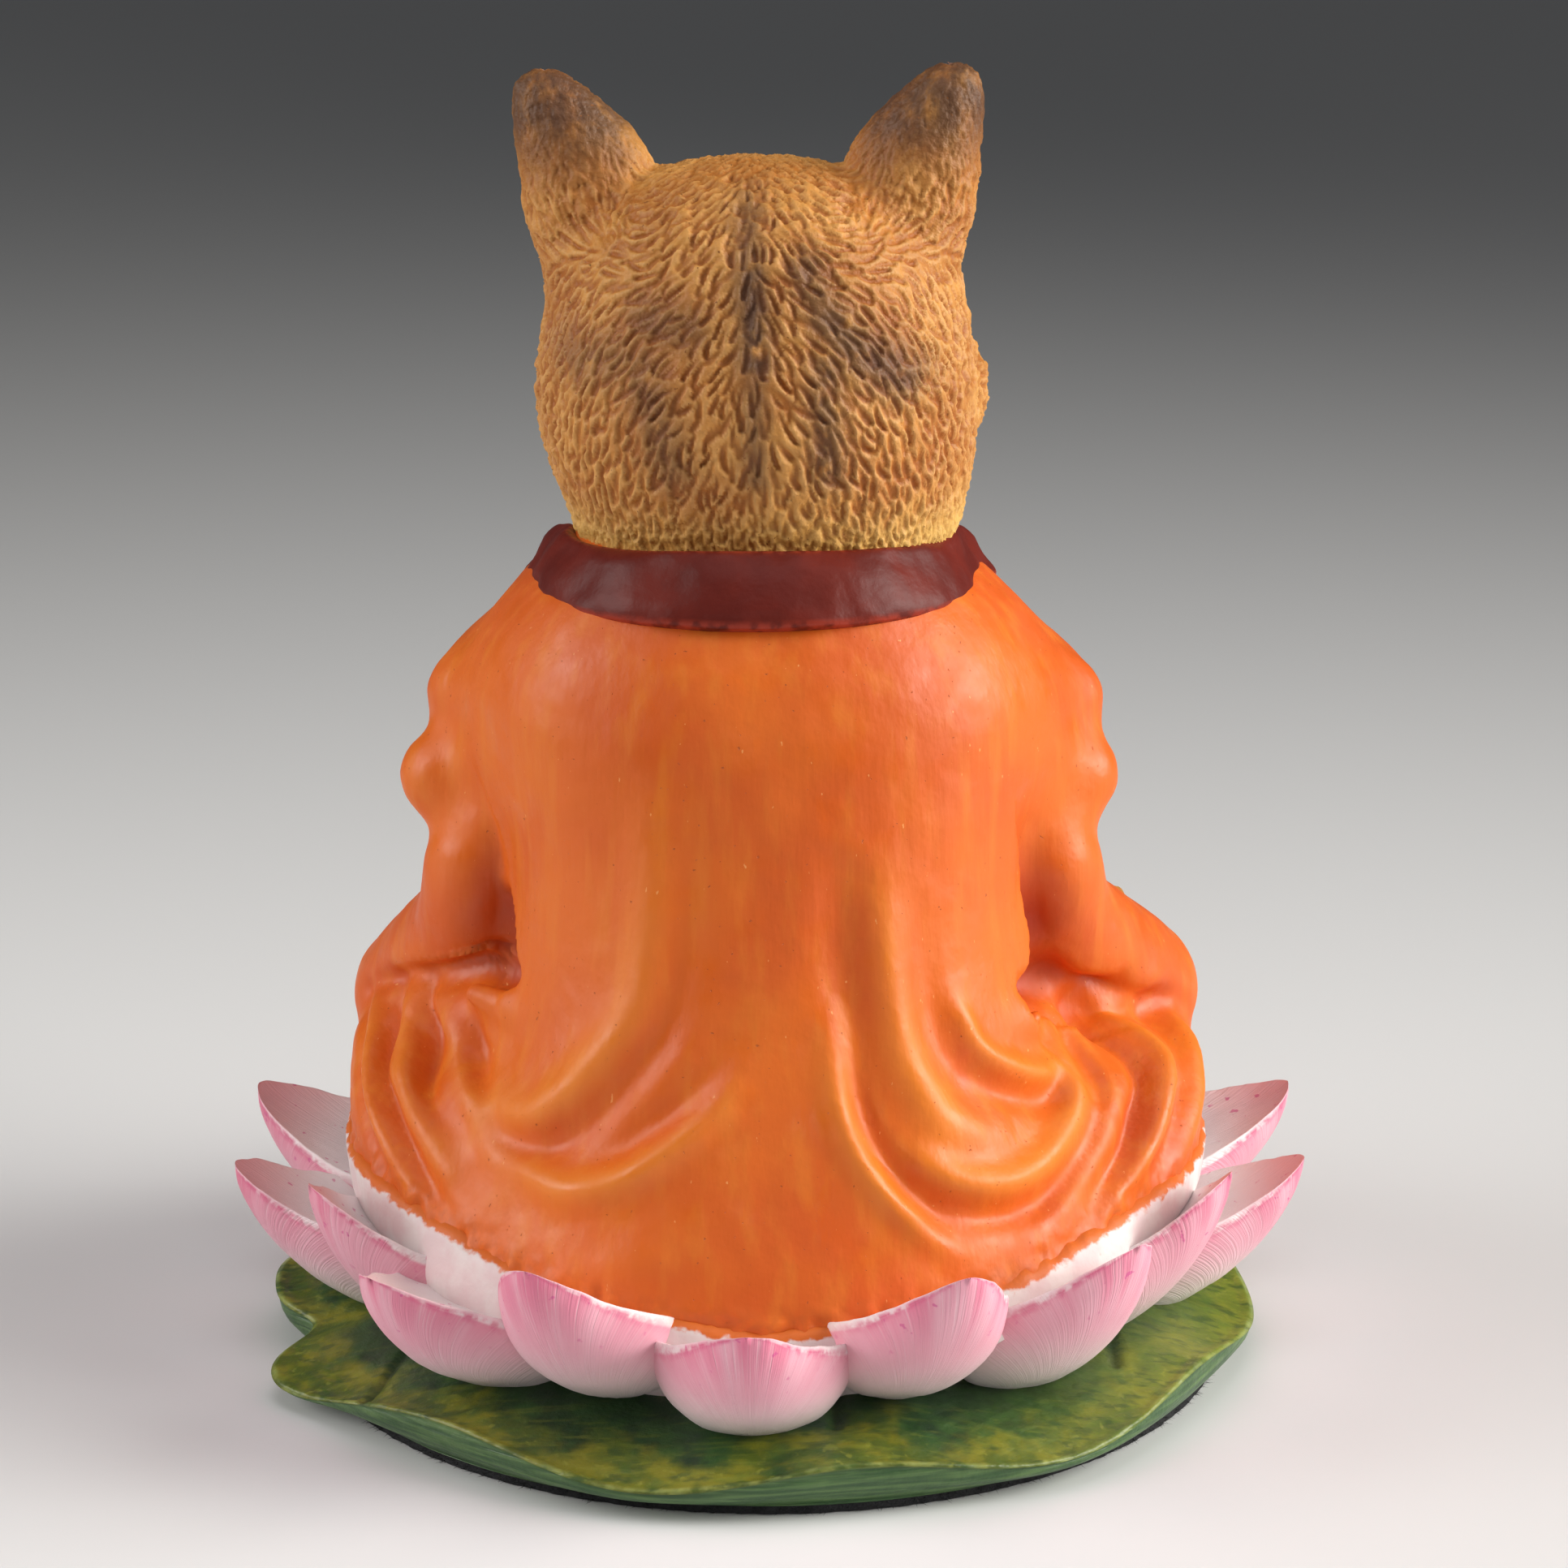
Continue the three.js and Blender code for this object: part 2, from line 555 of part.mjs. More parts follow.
function geometryOf(manifold) {
  const { vertProperties, triVerts } = manifold.getMesh();
  const geometry = new THREE.BufferGeometry();
  geometry.setAttribute('position', new THREE.BufferAttribute(new Float32Array(vertProperties), 3));
  geometry.setIndex(new THREE.BufferAttribute(new Uint32Array(triVerts), 1));
  geometry.computeVertexNormals();
  return geometry;
}

function castingGeometry() {
  const pieces = [
    robeGeometry(), collarGeometry(), skullGeometry(), leafGeometry(), coreGeometry(),
    sleeveGeometry(1), sleeveGeometry(-1), ...rollGeometries(1), ...rollGeometries(-1),
    pawGeometry(LEFT_PAW, PAW_TURN), pawGeometry(RIGHT_PAW, -PAW_TURN), ...PETALS.map(petalGeometry),
  ].map(solid);
  pieces.push(earSolid(1), earSolid(-1));
  return geometryOf(pieces.reduce((whole, piece) => whole.add(piece)));
}

function named(name, geometry, colour, roughness) {
  const paint = new THREE.MeshStandardMaterial({ color: colour, roughness, metalness: 0 });
  const mesh = new THREE.Mesh(geometry, paint);
  mesh.name = name;
  return mesh;
}

const figurine = new THREE.Group();
figurine.add(named('cat_casting', castingGeometry(), 0xd9722e, 0.5));
figurine.add(named('felt_pad', feltGeometry(), 0x17181a, 0.95));

export default figurine;
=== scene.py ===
"""Looks of the cat figurine: fine meshes, painted finishes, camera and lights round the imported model.

Lengths are in millimetres until a mesh is made. +Z is up and the cat faces -Y. An azimuth is in
degrees from the back (+Y) towards the cat's left hand (+X). A field gives the distance of points
from a form, and it is negative inside.
"""
import itertools
import math

import bpy
import numpy as np
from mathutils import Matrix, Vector
from mathutils.kdtree import KDTree


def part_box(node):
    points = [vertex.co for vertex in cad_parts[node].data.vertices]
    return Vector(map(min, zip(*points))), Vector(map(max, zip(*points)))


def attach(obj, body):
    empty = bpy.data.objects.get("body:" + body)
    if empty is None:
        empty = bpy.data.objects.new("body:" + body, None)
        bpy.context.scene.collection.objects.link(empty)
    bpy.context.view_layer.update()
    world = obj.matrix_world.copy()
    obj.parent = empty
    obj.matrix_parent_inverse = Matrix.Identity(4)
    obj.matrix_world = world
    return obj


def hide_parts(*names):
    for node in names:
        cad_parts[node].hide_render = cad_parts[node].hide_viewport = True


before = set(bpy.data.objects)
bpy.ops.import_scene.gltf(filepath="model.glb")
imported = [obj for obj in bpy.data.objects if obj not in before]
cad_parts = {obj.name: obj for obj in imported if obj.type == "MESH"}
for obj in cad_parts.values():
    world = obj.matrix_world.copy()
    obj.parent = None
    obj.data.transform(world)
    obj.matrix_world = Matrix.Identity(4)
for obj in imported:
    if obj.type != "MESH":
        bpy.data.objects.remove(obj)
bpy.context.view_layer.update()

MM = 0.001
ROBE_CELL = 0.55
HEAD_CELL = 0.26
PAW_CELL = 0.42
CORNERS = np.array(list(itertools.product((0, 1), repeat=3)))
FAR = 1e9
STROKE_LAP = 0.62
STROKE_GAP = 1.42
CHEST_CUTS = (2.8, 0.6, 0.32)
PAW_CUTS = (2.2, 0.5, 0.16)
CASTING = "cat_casting"
FELT = "felt_pad"

# Forms of the robe, the head and the ears: sizes at rising heights, as the solids have them
TORSO = {
    "height": [10, 20, 30, 40, 50, 60, 70, 76, 81, 86, 90, 94],
    "half": [41, 39.5, 35, 30.8, 28.8, 28.6, 30, 30.5, 28.5, 24.6, 19.6, 18.5],
    "back": [44, 42.5, 39.5, 36, 33, 31, 29.5, 28.4, 26.6, 23.6, 20.8, 19],
    "front": [30, 30, 29, 27, 25, 25, 25, 24, 23, 21, 19, 18],
}
LAP = {
    "height": [8, 14, 20, 26, 31, 35, 38],
    "half": [42, 43.8, 45.3, 46, 45.6, 43.5, 39],
    "back": [41, 41, 39, 36, 32, 28, 24],
    "front": [38, 38.5, 38, 36, 32, 27, 21],
}
SKULL = {
    "height": [84, 90, 94, 98, 102, 106, 110, 114, 118, 122, 125, 127.5, 129.3, 130.2],
    "half": [18, 19.8, 20.9, 22, 22.7, 22.9, 22.5, 21.3, 19.8, 17.8, 15.2, 11.6, 7, 2.5],
    "sway": [-1.1, -1.1, -1.1, -0.8, -0.4, -0.3, -0.4, -0.7, -0.6, -0.3, 0, 0, 0, 0],
}
EAR = {
    "height": [110, 118, 124, 129, 133, 136, 138, 139.2],
    "middle": [13.4, 14.2, 15.7, 16.9, 18.4, 20, 21, 21.4],
    "half": [7.6, 7.5, 7.8, 7.1, 6, 4.4, 2.8, 1],
    "deep": [8.4, 7.8, 6.8, 5.6, 4.5, 3.4, 2.3, 0.9],
}
ROBE_BOTTOM = 15.5
ROBE_TOP = 91.5
LAP_TOP = 37.5
BOWL_RADIUS = 39
BOWL_HEIGHT = 14
BOWL_FLARE = 1.5
HEM_WIDTH = 3.2
LEFT_SHIN = ((30.4, -18, 24), (-11, -36, 26.5), 13.3, 8.5)
RIGHT_SHIN = ((-34, -18, 24), (12, -40, 19.5), 13.5, 9)
LEFT_SLEEVE = {
    "elbow": (28.8, 4, 55),
    "wrist": (37.2, -12, 35.2),
    "rolls": [((32.6, -1.5, 72.3), (27, -10, 74), 3.4), ((34, 1, 64), (29, -10, 66), 5.1)],
}
RIGHT_SLEEVE = {
    "elbow": (27.6, 4, 55),
    "wrist": (38.4, -11, 36.2),
    "rolls": [((31.6, -1.5, 71.8), (27, -10, 73), 3.4), ((31.9, 1, 64.2), (29, -10, 66), 5.1)],
}
SHOULDER = (21.5, 0, 69)
KNEE_CLOTH = [((27.9, 10.1, 40.3), (32, 3.4, 38.6), 4.2, 4.5), ((32, 3.4, 38.6), (38, -3.9, 34.6), 4.5, 4.3)]

HEAD_PIVOT = np.array([1.2, -1.0, 100.0])
HEAD_TURN = math.radians(-4)
HEAD_TILT = math.radians(1.6)
HEAD_TOP = 130.2
HEAD_BASE = 85
EYE_OUT = 8.2
EAR_TIP = 139.2
EAR_FOOT = 110
HEAD_SPLIT = -1

COLLAR_HEIGHT = 88.2
COLLAR_RISE = 1.7
COLLAR_TILT = 7
COLLAR_DROP = 21
COLLAR_WIDTH = 6.9
COLLAR_BACK_WIDTH = 1.5
COLLAR_FRONT_SPAN = 70
COLLAR_PROUD = 1.15
COLLAR_SUNK = 2.6

PAW_RADII = (5.704, 9.24, 4.75)
TOES = [(-4, -5.6), (-1.4, -7.2), (1.4, -7.2), (4, -5.6)]
LEFT_PAW = (33, -27.5, 38.3)
RIGHT_PAW = (-34, -27.5, 38.8)
PAW_TURN = 8

FIBRES = 2600
FIBRE_THICKNESS = 0.05
PETAL_START = 32
PETAL_ROOT = 7
PETAL_TRIM = 0.4
# Petals: azimuth, reach of the tip, height of the tip, height of the rim at the robe, half width, depth
LOWER_PETALS = [
    (2, 56, 22, 15.2, 10.8, 11.4),
    (45, 57.6, 22.4, 15.3, 10.6, 10.5),
    (87, 58, 21.1, 14, 10.1, 11),
    (133, 57, 21.5, 15, 10.6, 10.5),
    (180, 55.5, 21.5, 15, 11.5, 10.5),
    (-133, 57, 21.5, 15, 10.6, 10.5),
    (-87, 58.3, 21.6, 13.9, 10.2, 11.2),
    (-44, 55, 25.5, 15.4, 10.8, 11.4),
]
UPPER_PETALS = [
    (25.4, 56.4, 27.2, 17.2, 9.9, 11),
    (66.3, 52.8, 25.3, 16.9, 10.1, 11.2),
    (109.2, 60.3, 22, 15.2, 10.8, 10.4),
    (156, 55.5, 25, 16.5, 10.4, 11),
    (-156, 55.5, 25, 16.5, 10.4, 11),
    (-109, 61.5, 22, 16.4, 10.2, 10.1),
    (-67.6, 53, 26.2, 16, 10.4, 11),
    (-21.3, 56.3, 27, 16.8, 10, 10.2),
]

# Folds of the robe: kind, reach across, and points of azimuth, height and size. A step lets the
# cloth on its outer side drop back behind the edge of the back panel.
FOLDS = [
    ("step", 7, [(73, 68.5, 0), (69, 62, 0.8), (66, 55.5, 2.6), (62.5, 50.5, 3.6), (60.5, 48.4, 3.2),
        (60, 46.6, 0.6)]),
    ("step", 7, [(-57, 67, 0), (-61, 60.5, 1.2), (-63, 55, 2.8), (-65, 50, 4), (-62, 46.5, 4.2),
        (-56, 44.6, 3), (-57, 42.2, 1)]),
    ("ridge", 2.8, [(22, 74, 0), (22, 66, 0.4), (22, 58.3, 0.8), (22.5, 50, 1.1), (26, 45.4, 1.3),
        (31, 41.2, 1.5), (36, 37.6, 1.6), (43, 34.8, 1.5), (52, 34.8, 1.1), (59, 36.9, 0.4)]),
    ("valley", 2.2, [(14, 66, 0), (15, 56, 0.5), (17, 48, 0.8), (22, 42.5, 1), (30, 36.5, 1.2),
        (38, 32.8, 1.3), (47, 31.8, 0.9), (55, 32.5, 0.3)]),
    ("ridge", 1.9, [(52, 31.2, 0.2), (42, 30.4, 1), (32, 29.4, 1.5), (23, 31.2, 1.7), (15, 35, 1.5),
        (9, 38.4, 0.9), (4, 42.5, 0.2)]),
    ("valley", 2.2, [(30, 32.6, 0.2), (23, 34.9, 0.9), (15, 39, 1), (9, 43.5, 0.6), (5, 50, 0.1)]),
    ("ridge", 2.6, [(27, 21.5, 0.3), (19, 23.6, 0.5), (11, 25.6, 0.2)]),
    ("valley", 1.2, [(60, 46.6, 1.6), (66, 46.1, 2.6), (73, 45.2, 2.2), (80, 43.6, 1.6), (87, 42, 1.4),
        (93, 40.2, 1.1), (99, 37.6, 0.6)]),
    ("valley", 1.6, [(70, 42.6, 0.2), (67, 40.2, 1.2), (63, 37.6, 1.5), (57, 35.4, 0.8), (52, 34, 0.2)]),
    ("ridge", 1.8, [(78, 41.8, 0.2), (73, 39.4, 0.6), (66, 36.8, 0.9), (55, 33.2, 0.8), (46, 29.6, 0.4),
        (38, 27, 0.1)]),
    ("valley", 1.3, [(84, 42, 0.6), (80, 39.4, 1.6), (74, 36.8, 1.8), (67, 34.2, 1.2), (61, 31.8, 0.3)]),
    ("ridge", 1.7, [(88, 40.4, 0.2), (83, 37.6, 0.7), (73, 34.6, 0.9), (64, 31.4, 0.9), (55, 27.6, 0.5)]),
    ("valley", 1.2, [(92, 40.4, 0.6), (87, 37.4, 1.5), (79, 34, 1.9), (70, 31, 1.8), (61, 27.2, 1.3),
        (54, 24, 0.4)]),
    ("ridge", 1.5, [(97, 37.8, 0.6), (88, 35.2, 0.9), (79, 32.2, 1), (69, 28.4, 0.8), (61, 24.8, 0.4)]),
    ("valley", 1.4, [(99, 37, 0.4), (90, 34.4, 1), (80, 30.6, 1.3), (71, 26.6, 1), (64, 23.4, 0.4)]),
    ("ridge", 3, [(-22, 66, 0), (-22, 57, 0.8), (-22, 50.3, 1.2), (-23, 44.1, 1.4), (-26, 39.7, 1.5),
        (-29, 36.6, 1.3), (-36, 34, 0.8), (-43, 34, 0.2)]),
    ("valley", 2.8, [(-14, 66, 0), (-13.5, 58, 0.8), (-15, 50, 1), (-17.5, 42, 0.7), (-22, 36.5, 0.3)]),
    ("valley", 2.4, [(-29, 60, 0), (-29, 50, 0.6), (-31, 43.5, 0.9), (-36, 38.8, 0.8), (-43, 36.4, 0.3)]),
    ("ridge", 2, [(-22, 35.2, 0.2), (-25, 32.8, 1), (-29, 30.8, 1.6), (-36, 29.6, 1.9), (-44, 29.8, 1.8),
        (-51, 31.4, 1.6), (-57, 33.6, 1.4), (-62, 36.6, 1.2), (-66, 39.4, 0.6)]),
    ("valley", 1.7, [(-23, 31, 0.2), (-28, 28.2, 0.9), (-36, 26.6, 1.2), (-45, 26.8, 1.1), (-53, 28.8, 1),
        (-60, 31.8, 1.1), (-66, 35.2, 1.1), (-70, 38.4, 0.5)]),
    ("ridge", 1.7, [(-11, 50, 0), (-11.5, 44, 0.9), (-12, 39.7, 1.3), (-14, 35.1, 1.6), (-18, 30.8, 1.5),
        (-22, 27.6, 1.2), (-25, 25.6, 0.7), (-30, 23.6, 0.2)]),
    ("valley", 1.6, [(-13.5, 45, 0.2), (-14.8, 39.5, 1.1), (-17, 35, 1.4), (-21, 31, 1.3),
        (-24.5, 28.2, 0.9), (-28, 26, 0.3)]),
    ("ridge", 1.5, [(-35, 48.5, 0.2), (-36.5, 45.5, 0.9), (-38.5, 42.8, 1.1), (-44, 40, 1.3),
        (-54, 37.4, 1.2), (-61, 38, 0.4)]),
    ("valley", 1.6, [(-37, 40.6, 0.4), (-43, 37.6, 0.9), (-52, 35.2, 0.9), (-58, 35.8, 0.3)]),
    ("ridge", 1.5, [(-80, 42.4, 0.4), (-71, 37.6, 1), (-65, 34.2, 1.2), (-58.5, 30.6, 1.1), (-50, 27, 0.8),
        (-43, 24.4, 0.3)]),
    ("valley", 1.4, [(-86, 41.6, 0.6), (-76, 36.4, 1.3), (-68, 32.2, 2), (-61, 28.4, 1.5),
        (-53, 25, 0.5)]),
    ("ridge", 1.5, [(-92, 40.4, 0.4), (-82, 36.2, 1), (-73, 32, 1.1), (-65, 28, 0.9), (-56, 24.6, 0.4)]),
    ("valley", 1.4, [(-94, 38.2, 0.3), (-87, 35, 1), (-78, 31, 1.3), (-70, 27.2, 1), (-62, 24.2, 0.3)]),
    ("ridge", 1.5, [(-98, 37.2, 0.3), (-91, 33.8, 0.9), (-82, 29.4, 0.9), (-73, 25.4, 0.4)]),
    ("valley", 1.5, [(-58, 45.8, 1.4), (-68, 44.4, 1.9), (-78, 42.3, 1.8), (-87, 39.6, 1.4),
        (-97, 36.6, 0.8)]),
]

# Places on the head in its own upright frame, as x and height: from, to, reach and strength
BACK_PATCHES = [
    ((-0.8, 127), (-1.4, 121), 1.9, 0.7),
    ((-1.4, 121), (-1.8, 113), 2.1, 1.0),
    ((-1.8, 113), (-1.6, 101), 1.7, 0.7),
    ((-7, 121.5), (-8.8, 117), 2.3, 0.8),
    ((-9, 117), (-12, 113.6), 2.6, 0.9),
    ((-12, 113.6), (-16.7, 110.2), 2.8, 0.9),
    ((-8.9, 112), (-9, 101.5), 2.2, 0.8),
    ((9.4, 116.7), (4.8, 116), 2.6, 0.6),
    ((17, 112), (11, 113), 3.0, 0.5),
    ((10, 112), (7, 102), 2.6, 0.6),
]
FRONT_PATCHES = [((0, 116), (0, 125), 1.0, 0.8)]
for side in (1, -1):
    FRONT_PATCHES += [
        ((3.4 * side, 113.5), (4.6 * side, 124), 1.0, 0.8),
        ((8 * side, 112), (10 * side, 118), 1.0, 0.6),
        ((13 * side, 105), (19 * side, 103), 1.0, 0.7),
        ((13 * side, 101), (19 * side, 98), 1.0, 0.6),
    ]

LEAF_START = 26
LEAF_FOOT = 49.4

# The white middle of the lotus: reach and height of the rings at its foot, how far it may reach above
# them, and the height at which it meets the robe, by the turn from the back
CORE_INNER = 36
CORE_FOOT = [(CORE_INNER, 4), (38, 8), (41, 11.3)]
CORE_LIMIT = 42.5
CORE_FLARE = 1.8
CORE_FLARE_START = 13
CORE_TOP = {
    "turn": [0, 15, 35, 50, 65, 90, 125, 150, 180],
    "height": [17.4, 18.6, 20.4, 22.3, 23.8, 24.2, 21.5, 18, 17.6],
}

# Socket numbers of the colour mixer, and the colours that are mixed most
MIX_SHARE, MIX_UNDER, MIX_OVER = 0, 6, 7
TAN = (0.46, 0.16, 0.025)
TAN_LIGHT = (0.62, 0.27, 0.055)
# Groove colour: a darker wash, with painted shade in the cuts
TAN_WASH_AND_SHADE = (0.35, 0.095, 0.010)
CREAM = (0.76, 0.47, 0.12)
# Ridge colour: dry-brushed paint, with a painted highlight on the ridge tops
RIDGE_DRYBRUSH_AND_HIGHLIGHT = (0.8, 0.45, 0.16)
TABBY = (0.085, 0.038, 0.022)
ORANGE = (0.75, 0.144, 0.008)
ORANGE_DEEP = (0.67, 0.104, 0.007)
MAROON = (0.11, 0.008, 0.0035)
MAROON_LIGHT = (0.15, 0.013, 0.006)
PETAL_WHITE = (0.88, 0.8, 0.79)
PETAL_PINK = (0.85, 0.42, 0.51)

# The studio, in metres: camera, floor, and the name, place, size, power and colour of each light
LENS = 140.5
CAMERA_DISTANCE = 0.650
CAMERA_ELEVATION = math.radians(17)
CAMERA_TARGET = Vector((-0.0018, 0, 0.0627))
FLOOR_SIZE = 40
LIGHT_TARGET = (0, 0.07, 0.08)
LIGHT_SPREAD = math.radians(66)
LIGHTS = [
    ("left_softbox", (0.7, 0.13, 0.38), 0.65, 0.98, (1, 0.97, 0.95)),
    ("right_softbox", (-0.7, 0.13, 0.38), 0.65, 2.15, (1, 0.98, 0.93)),
    ("top_softbox", (0, 0.16, 0.65), 0.5, 0.2, (0.98, 0.98, 1)),
    ("front_fill", (0.05, 1.3, 0.5), 0.4, 0.15, (1, 0.98, 0.96)),
]


def curve(at, stations, values):
    """Smooth values between those of a profile."""
    stations = np.asarray(stations, float)
    values = np.asarray(values, float)
    slopes = np.gradient(values, stations)
    at = np.clip(at, stations[0], stations[-1])
    i = np.clip(np.searchsorted(stations, at, side="right") - 1, 0, len(stations) - 2)
    span = stations[i + 1] - stations[i]
    t = (at - stations[i]) / span
    ease = t * t * (3 - 2 * t)
    start = t * (1 - t) ** 2 * span * slopes[i]
    end = t * t * (t - 1) * span * slopes[i + 1]
    return values[i] * (1 - ease) + values[i + 1] * ease + start + end


def step(value, low, high):
    """Smooth rise from 0 at low to 1 at high."""
    t = np.clip((value - low) / (high - low), 0, 1)
    return t * t * (3 - 2 * t)


def join(a, b, rounding):
    """Distance to two forms that flow into each other."""
    share = np.clip(0.5 + 0.5 * (b - a) / rounding, 0, 1)
    return b * (1 - share) + a * share - rounding * share * (1 - share)


def cut(a, b, rounding):
    """Distance to what two forms have in common."""
    return -join(-a, -b, rounding)


def ellipsoid(p, centre, radii):
    """Distance to an ellipsoid, nearly true close to its surface."""
    q = (p - np.array(centre)) / np.array(radii)
    size = np.linalg.norm(q, axis=1)
    steepness = np.linalg.norm(q / np.array(radii), axis=1) + 1e-9
    return size * (size - 1) / steepness


def to_segment(p, start, end):
    """Share of the way along a segment that is nearest to each point, and the offset from there."""
    start = np.array(start, float)
    along = np.array(end, float) - start
    share = np.clip((p - start) @ along / (along @ along), 0, 1)
    return share, p - start - share[:, None] * along


def cone(p, start, end, start_radius, end_radius):
    """Distance to a round-ended cone."""
    share, away = to_segment(p, start, end)
    return np.linalg.norm(away, axis=1) - (start_radius + (end_radius - start_radius) * share)


def loft(p, x, y, half, back, front, power):
    """Distance to an upright form whose level section is a rounded box."""
    dx = p[:, 0] - x
    dy = p[:, 1] - y
    depth = np.where(dy > 0, back, front)
    size = ((np.abs(dx) / half) ** power + (np.abs(dy) / depth) ** power) ** (1 / power) + 1e-9
    return np.hypot(dx, dy) * (1 - 1 / size)


def sections(profile, z, *names):
    """Sizes of a form at the heights of points."""
    return [curve(z, profile["height"], profile[name]) for name in names]


def lattice(cells, seed):
    """A random value from -1 to 1 for each whole-number place."""
    mixed = cells[:, 0] * 73856093 ^ cells[:, 1] * 19349663 ^ (cells[:, 2] + seed * 101) * 83492791
    mixed = (mixed ^ (mixed >> 13)) * 1274126177
    return ((mixed ^ (mixed >> 16)) & 0xFFFF) / 32767.5 - 1


def grain(p, size, seed):
    """Smooth random value from -1 to 1 at each point, in lumps of the size given."""
    q = p / size
    cells = np.floor(q).astype(np.int64)
    t = q - cells
    t = t * t * (3 - 2 * t)
    total = np.zeros(len(p))
    for corner in CORNERS:
        weight = np.prod(np.where(corner, t, 1 - t), axis=1)
        total += weight * lattice(cells + corner, seed)
    return total


def torso(p):
    z = p[:, 2]
    lean = -0.9 + 2 * (z - 30) / 80 + 0.4 * np.clip((z - 65) / 10, 0, 1)
    half, back, front = sections(TORSO, z, "half", "back", "front")
    half = half - 0.13 * np.clip(-p[:, 1], 0, 14) * step(z, 76, 83)
    body = loft(p, lean, 0, half, back, front, 2.25)
    return cut(cut(body, z - ROBE_TOP, 1), 10 - z, 1)


def lap(p):
    """Seat, shins and knees, trimmed below so that they stay behind the petals."""
    z = p[:, 2]
    seat = loft(p, -0.9, -4, *sections(LAP, z, "half", "back", "front"), 2.5)
    seat = cut(cut(seat, z - LAP_TOP, 5), 9 - z, 1)
    shins = join(join(seat, cone(p, *LEFT_SHIN), 4), cone(p, *RIGHT_SHIN), 3)
    knee_cloth = join(cone(p, *KNEE_CLOTH[0]), cone(p, *KNEE_CLOTH[1]), 1)
    past_bowl = np.hypot(p[:, 0], p[:, 1]) - BOWL_RADIUS - BOWL_FLARE * (z - BOWL_HEIGHT)
    return cut(join(shins, knee_cloth, 6), 0.55 * past_bowl, 2)


def sleeve(p, side):
    """Distance to a sleeve, with the rolls of cloth across it."""
    q = (p - np.array([-0.3, 0, 0])) * np.array([side, 1, 1])
    form = LEFT_SLEEVE if side > 0 else RIGHT_SLEEVE
    elbow = form["elbow"]
    forearm = (elbow[0], elbow[1], elbow[2] - 5)
    whole = join(cone(q, SHOULDER, elbow, 9.8, 7.9), cone(q, forearm, form["wrist"], 7.5, 8.3), 4)
    for start, end, radius in form["rolls"]:
        whole = join(whole, cone(q, start, end, radius, radius), 3)
    return whole


def robe(p):
    left_corner = cone(p, (21, 18.5, 42.5), (30.4, 13.2, 43.6), 3, 1.5)
    right_corner = cone(p, (-20, 21.5, 43.5), (-27.4, 17, 42.5), 3.2, 2)
    body = join(torso(p), lap(p), 4)
    blend = 1.6 + 6.5 * step(p[:, 2], 58, 70)
    for side in (1, -1):
        body = join(body, sleeve(p, side), blend)
    return join(body, np.minimum(left_corner, right_corner), 2)


def rotated(x, y, angle):
    """Two coordinates of points in a frame that is turned by an angle."""
    c, s = math.cos(angle), math.sin(angle)
    return x * c + y * s, -x * s + y * c


def head_frame(p):
    """Points in the head's own upright frame."""
    q = p - HEAD_PIVOT
    x, z = rotated(q[:, 0], q[:, 2], -HEAD_TILT)
    x, y = rotated(x, q[:, 1], HEAD_TURN)
    return np.stack([x, y, z + HEAD_PIVOT[2]], 1)


def skull(q):
    z = q[:, 2]
    half, sway = sections(SKULL, z, "half", "sway")
    whole = loft(q, sway, 0, half, half * 0.93, half * 0.86, 2.2)
    whole = cut(cut(whole, 84 - z, 1), z - HEAD_TOP, 3)
    for side in (1, -1):
        whole = join(whole, ellipsoid(q, (side * 13.5, -11, 103), (10.6, 9, 8.5)), 4)
    return whole


def face(q, whole):
    """The skull with its muzzle, nose, closed lids and chin."""
    whole = join(whole, ellipsoid(q, (0, -17.5, 99.8), (8, 6.3, 5.8)), 3.5)
    for side in (1, -1):
        whole = cut(whole, -ellipsoid(q, (side * EYE_OUT, -22, 107.6), (4.6, 3.4, 3.4)), 2)
        whole = join(whole, ellipsoid(q, (side * EYE_OUT, -17.2, 107.2), (4.4, 2.6, 2.9)), 0.8)
        whole = join(whole, ellipsoid(q, (side * 2.9, -22.4, 98.9), (3.6, 2.7, 2.6)), 0.8)
    whole = join(whole, ellipsoid(q, (0, -19.5, 105.5), (2.8, 3.2, 5.5)), 2.5)
    whole = join(whole, ellipsoid(q, (0, -21.2, 95.9), (3.2, 2.5, 2)), 1)
    return join(whole, ellipsoid(q, (0, -24.4, 101.6), (2, 1.3, 1.2)), 0.5)


def ear_forms(q, side):
    """An ear before it is hollowed, and the hollow in its front."""
    q = q * np.array([side, 1, 1])
    z = q[:, 2]
    middle, half, deep = sections(EAR, z, "middle", "half", "deep")
    y = -1.5 - 0.08 * (z - 118)
    whole = loft(q, middle, y, half, deep, deep, 2)
    hollow = loft(q, middle - 0.4, y - deep * 0.9, half - 1.8, deep * 1.05, deep * 2, 2)
    return cut(cut(whole, z - EAR_TIP, 1), EAR_FOOT - z, 1), cut(hollow, 119 - z, 2)


def head(p):
    q = head_frame(p)
    whole = face(q, skull(q))
    for side in (1, -1):
        ear, hollow = ear_forms(q, side)
        whole = join(whole, cut(ear, -hollow, 1), 3)
    return whole


def paw(p, place, side):
    """A forepaw that lies on the knee, with four toes in front."""
    q = p - np.array(place)
    q = np.stack([*rotated(q[:, 0], q[:, 1], math.radians(PAW_TURN * side)), q[:, 2]], 1)
    whole = ellipsoid(q, (0, 1.2, 0), PAW_RADII)
    for x, y in TOES:
        whole = join(whole, ellipsoid(q, (x, y, -0.9), (1.75, 3.1, 2.9)), 0.7)
    return whole


def at_corners(grid):
    """Eight views of a grid, one for each corner of its cells."""
    return [grid[tuple(slice(k, size - 1 + k) for k, size in zip(corner, grid.shape))] for corner in CORNERS]


def finer(grid, block):
    return grid.repeat(block, 0).repeat(block, 1).repeat(block, 2)


